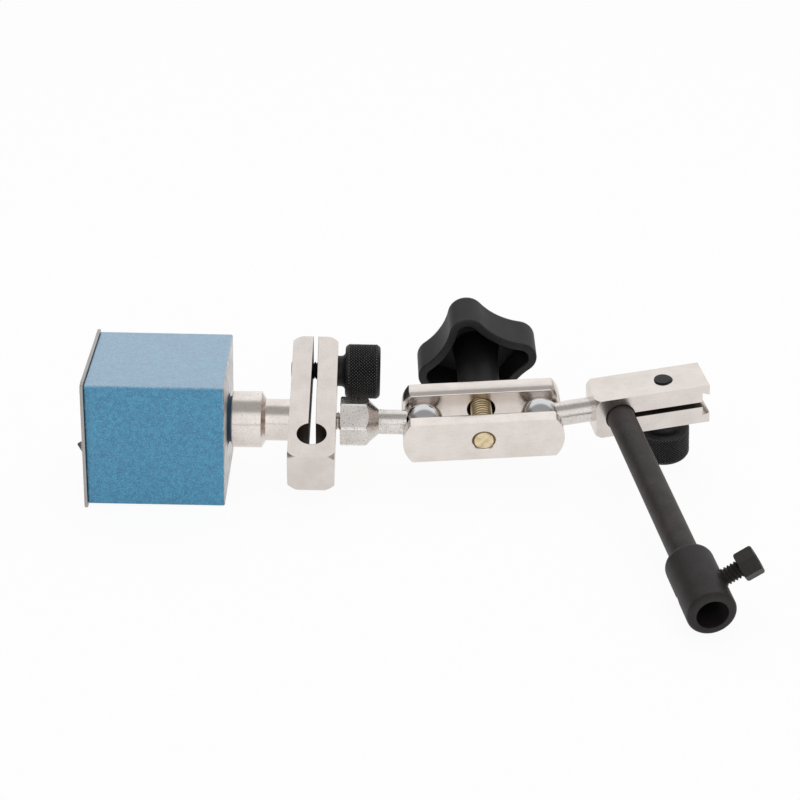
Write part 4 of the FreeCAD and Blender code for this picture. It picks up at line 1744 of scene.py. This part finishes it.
@dataclass
class Head:
    """The slotted head block with its thumb screw."""

    place: Matrix
    start: float = 14.5 * MM
    length: float = 32 * MM
    side: float = 12 * MM
    bore_radius: float = 3.9 * MM
    bore_setback: float = 6.8 * MM
    screw_setback: float = 20.5 * MM
    screw_hole: float = 2.6 * MM
    slot: float = 1.5 * MM
    mouth: float = 5.8 * MM
    base: float = 7.4 * MM
    depth: float = 2.0 * MM

    def build(self) -> None:
        """Makes the block and its screw."""
        self.block()
        self.screw()

    def block(self) -> None:
        """Makes the bar with its bore, slot and dovetail groove."""
        half = self.side / 2
        over = half + MM
        end = self.start + self.length
        bore_x = self.start + self.bore_setback
        screw_x = self.start + self.screw_setback
        bar = SquareBar(
            self.start, end, self.side, turned_end=False, margin=1.2 * MM, run=1.5 * MM
        ).solid()
        bore = Solid.rod((bore_x, -over, 0), (bore_x, over, 0), self.bore_radius)
        slot = Solid.box((bore_x, -over, -self.slot / 2), (end + MM, over, self.slot / 2))
        mouth, base = self.mouth / 2, self.base / 2
        spread = (base - mouth) / self.depth
        lip = mouth - spread * MM
        groove = Solid.prism(
            [
                (end + MM, -over, -lip), (end - self.depth, -over, -base),
                (end - self.depth, -over, base), (end + MM, -over, lip)
            ],
            (0, 2 * over, 0),
        )
        hole = Solid.rod((screw_x, 0, -over), (screw_x, 0, over), self.screw_hole)
        made = bar.cut(bore, slot, groove, hole).placed(self.place).finished(
            "dovetail_block", 0.28 * MM, 3
        )
        look = SlottedPlate(
            tint=srgb(232, 224, 218), shade=srgb(212, 204, 198), lines=(0.08, 1, 1),
            bore_at=bore_x,
            bore_radius=self.bore_radius, shadow=0.25 * MM, slot_half=self.slot / 2,
        ).material("head_nickel", self.place)
        hand_over(made, Body.HEAD, look, ("head_block",))

    def screw(self) -> None:
        """Makes the thumb screw, its head below the block."""
        turn = Matrix.Rotation(math.radians(90), 4, "Y")
        place = self.place @ Matrix.Translation((self.start + self.screw_setback, 0, 0)) @ turn
        screw = ThumbScrew(bar=self.side, head_radius=7.3 * MM, head_length=9.8 * MM)
        made = screw.solid().placed(place).finished("head_thumb_screw")
        look = KnurlOxide(head_radius=screw.head_radius).material("head_thumb_oxide", place)
        hand_over(made, Body.HEAD_SCREW, look, ("head_screw",))


@dataclass
class StemHolder:
    """The black rod, the sleeve on its end and the sleeve's screw."""

    place: Matrix
    screw_place: Matrix
    rod_radius: float = 3.82 * MM
    rod_start: float = -9.0 * MM
    reach: float = 92.9 * MM
    sleeve_radius: float = 6.25 * MM
    sleeve_length: float = 21.7 * MM
    bore_radius: float = 4.0 * MM
    bore_depth: float = 12.9 * MM
    shoulder: float = 2.2 * MM
    edge: float = 1.2 * MM
    socket_depth: float = 7.0 * MM
    screw_setback: float = 9.6 * MM
    thread_radius: float = 2.25 * MM
    thread_pitch: float = 0.9 * MM
    head_start: float = 10.85 * MM
    head_length: float = 4.8 * MM
    flats: float = 6.6 * MM
    recess_radius: float = 2.0 * MM
    recess_depth: float = 2.2 * MM

    def build(self) -> None:
        """Makes the rod, the sleeve and the screw."""
        self.rod()
        self.sleeve()
        self.screw()

    def rod(self) -> None:
        """Makes the rod with its chamfered end."""
        end = self.reach - self.sleeve_length + self.socket_depth
        solid = Solid.turned(eased([
            (self.rod_start, 0, 0), (self.rod_start, self.rod_radius - 0.5 * MM, 0.1 * MM),
            (self.rod_start + 0.5 * MM, self.rod_radius, 0.1 * MM), (end, self.rod_radius, 0),
            (end, 0, 0),
        ]))
        made = solid.placed(self.place).finished("black_rod")
        look = BlackOxide().material("rod_oxide", self.place)
        hand_over(made, Body.ROD, look, ("rod",))

    def sleeve(self) -> None:
        """Makes the sleeve with its stem bore and the screw's hole."""
        start = self.reach - self.sleeve_length
        solid = Solid.turned(eased([
            (start, self.rod_radius + 0.05 * MM, 0),
            (start, self.sleeve_radius, self.shoulder),
            (self.reach, self.sleeve_radius, self.edge),
            (self.reach, self.bore_radius, 0.2 * MM),
            (self.reach - self.bore_depth, self.bore_radius, 0),
            (self.reach - self.bore_depth, self.rod_radius + 0.05 * MM, 0),
            (start, self.rod_radius + 0.05 * MM, 0),
        ], 8))
        inverse = self.place.inverted() @ self.screw_place
        hole = Solid.rod(
            (-8 * MM, 0, 0), (8 * MM, 0, 0), self.thread_radius + 0.1 * MM, 48
        ).placed(inverse)
        made = solid.cut(hole).placed(self.place).finished("stem_sleeve", 0.1 * MM)
        oxide = BlackOxide(tint=srgb(27, 24, 24), rubbed=srgb(46, 41, 41), roughness=0.46)
        look = oxide.material(
            "sleeve_oxide", self.place
        )
        hand_over(made, Body.SLEEVE, look, ("sleeve",))

    def screw(self) -> None:
        """Makes the small screw: thread, hexagon and round recess."""
        end = self.head_start + self.head_length
        corner = self.flats / math.sqrt(3)
        thread = Solid.thread(
            self.bore_radius + 0.05 * MM, self.head_start + 0.3 * MM, self.thread_radius,
            self.thread_pitch, 0.4 * MM
        )
        hexagon = Solid.prism(
            [
                (self.head_start, corner * math.cos(a), corner * math.sin(a))
                for a in (math.radians(60 * k) for k in range(6))
            ],
            (self.head_length, 0, 0),
        )
        low, high = self.head_start, end
        limit = Solid.turned([
            (low, 0), (low, corner - 0.4 * MM), (low + 0.4 * MM, corner + 0.02 * MM),
            (high - 0.4 * MM, corner + 0.02 * MM), (high, corner - 0.4 * MM), (high, 0),
        ])
        recess = Solid.rod(
            (end - self.recess_depth, 0, 0), (end + MM, 0, 0), self.recess_radius, 48
        )
        head = hexagon.kept(limit).cut(recess)
        head.bevelled(head.sharp_edges(25), 0.12 * MM, 2)
        made = thread.beside(head).placed(self.screw_place).finished("sleeve_clamp_screw")
        look = BlackOxide(
            tint=srgb(24, 21, 20), rubbed=srgb(48, 43, 41)
        ).material("small_screw_oxide", self.screw_place)
        hand_over(made, Body.SLEEVE_SCREW, look, ("sleeve_screw",))


@dataclass
class Studio:
    """The pale floor, the soft light and the camera."""

    floor_size: float = 8.0
    block_length: float = 37 * MM
    block_bottom: float = -17.5 * MM
    keeper_bottom: float = -18.5 * MM
    keeper_face: float = -0.85 * MM
    camera_at: Point = (0.07473, -0.50796, 0.24022)
    right: Point = (0.9997, -0.0067, 0.0249)
    down: Point = (0.0198, -0.4179, -0.9083)
    forward: Point = (0.0165, 0.9085, -0.4177)
    lens: float = 91.63

    def build(self) -> None:
        """Sets up the whole studio."""
        self.floor()
        self.world()
        self.lamps()
        self.camera()
        bpy.context.scene.view_settings.view_transform = "Standard"

    def floor(self) -> None:
        """Lays the floor under the keeper's lower edge and the block's lower right edge."""
        slope = math.atan2(
            self.block_bottom - self.keeper_bottom, self.block_length - self.keeper_face
        )
        mesh = bmesh.new()
        bmesh.ops.create_grid(mesh, x_segments=1, y_segments=1, size=self.floor_size / 2)
        touch = Matrix.Translation((self.block_length, 0, self.block_bottom - 0.02 * MM))
        bmesh.ops.transform(
            mesh, matrix=touch @ Matrix.Rotation(-slope, 4, "Y"), verts=mesh.verts
        )
        made = Solid(mesh).to_object("floor")
        shader = Shader("floor_white", Matrix.Identity(4))
        path = shader.node("ShaderNodeLightPath")
        mirrored = shader.signal(path, "Is Glossy Ray").most(
            shader.signal(path, "Is Transmission Ray")
        )
        seen = (shader.signal(path, "Is Camera Ray") * 0.94).most(mirrored * 0.7)
        matt = shader.surface(
            Base_Color=(0.82, 0.82, 0.82, 1), Roughness=1.0, Specular_IOR_Level=0.0
        )
        glow = shader.signal(
            shader.node("ShaderNodeEmission", Color=(1, 1, 1, 1), Strength=1.0), "Emission"
        )
        made.data.materials.append(shader.done(shader.blended(seen, matt, glow)))

    def world(self) -> None:
        """Makes a white tent with a dimmer strip overhead, a dim horizon line and brown sides."""
        world = bpy.data.worlds.new("white_tent")
        bpy.context.scene.world = world
        world.use_nodes = True
        tent = Nodes(world.node_tree)
        direction = tent.signal(tent.node("ShaderNodeTexCoord"), "Generated")
        x, y, z = tent.parts(direction)
        length = (y * y + z * z + 0.0001) ** 0.5
        strip = ((0.98 * z - 0.2 * y) / length).between(0.81, 0.96) * abs(x).between(0.97, 0.8)
        horizon = (0.0 - y).between(0.3, 0.6) * z.between(0.09, 0.04)
        strength = (1 - 0.58 * strip) * (1 - 0.45 * horizon)
        right = x.between(0.5, 0.75) * z.between(0.75, 0.45) * 0.85
        left = x.between(-0.45, -0.7) * z.between(0.75, 0.45)
        path = tent.node("ShaderNodeLightPath")
        seen = tent.signal(path, "Is Camera Ray")
        colour = tent.mixed(right * (1 - seen), (1, 1, 1), (0.40, 0.33, 0.28))
        colour = tent.mixed(left * (1 - seen), colour, (0.26, 0.22, 0.19))
        background = tent.node(
            "ShaderNodeBackground", Strength=strength.most(seen), Color=colour
        )
        output = tent.node("ShaderNodeOutputWorld")
        tent.tree.links.new(background.outputs[0], output.inputs["Surface"])

    def lamps(self) -> None:
        """Hangs a large soft lamp above and a weaker one in front."""
        self.lamp("overhead", (0.12, 0.12, 0.9), 0.9, 3.0)
        self.lamp("front_left", (-0.6, -0.8, 0.7), 0.6, 1.5)

    def lamp(self, name: str, at: Point, size: float, power: float) -> None:
        """Hangs one square lamp that points at the object.

        Args:
            name: The lamp's name.
            at: Where it hangs.
            size: Its side.
            power: Its power in watts.
        """
        data = bpy.data.lights.new(name, "AREA")
        data.size = size
        data.energy = power
        made = bpy.data.objects.new(name, data)
        aim = Vector((0.09, 0, 0)) - Vector(at)
        made.location = at
        made.rotation_euler = aim.to_track_quat("-Z", "Y").to_euler()
        made.visible_glossy = False
        bpy.context.scene.collection.objects.link(made)

    def camera(self) -> None:
        """Places the camera at the photograph's viewpoint."""
        data = bpy.data.cameras.new("camera")
        data.lens = self.lens
        data.sensor_width = 36
        data.sensor_fit = "HORIZONTAL"
        data.clip_start = 0.01
        made = bpy.data.objects.new("camera", data)
        columns = (Vector(self.right), -Vector(self.down), -Vector(self.forward))
        turn = Matrix(columns).transposed().to_4x4()
        made.matrix_world = Matrix.Translation(self.camera_at) @ turn
        bpy.context.scene.collection.objects.link(made)
        bpy.context.scene.camera = made


def main() -> None:
    """Builds every group of the object, then the studio."""
    logging.basicConfig(level=logging.INFO, format="%(message)s", stream=sys.stdout)
    frames = Frames()
    groups = (
        BaseBlock(),
        Post(),
        AdjustBlock(frames.adjust),
        HexStud(place=frames.stud_a),
        Clamp(frames.clamp),
        HeadStud(place=frames.head),
        Head(frames.head),
        StemHolder(frames.rod, frames.sleeve_screw),
        Studio(),
    )
    for group in groups:
        group.build()
        LOG.info("%s done", type(group).__name__)


if __name__ == "__main__":
    main()
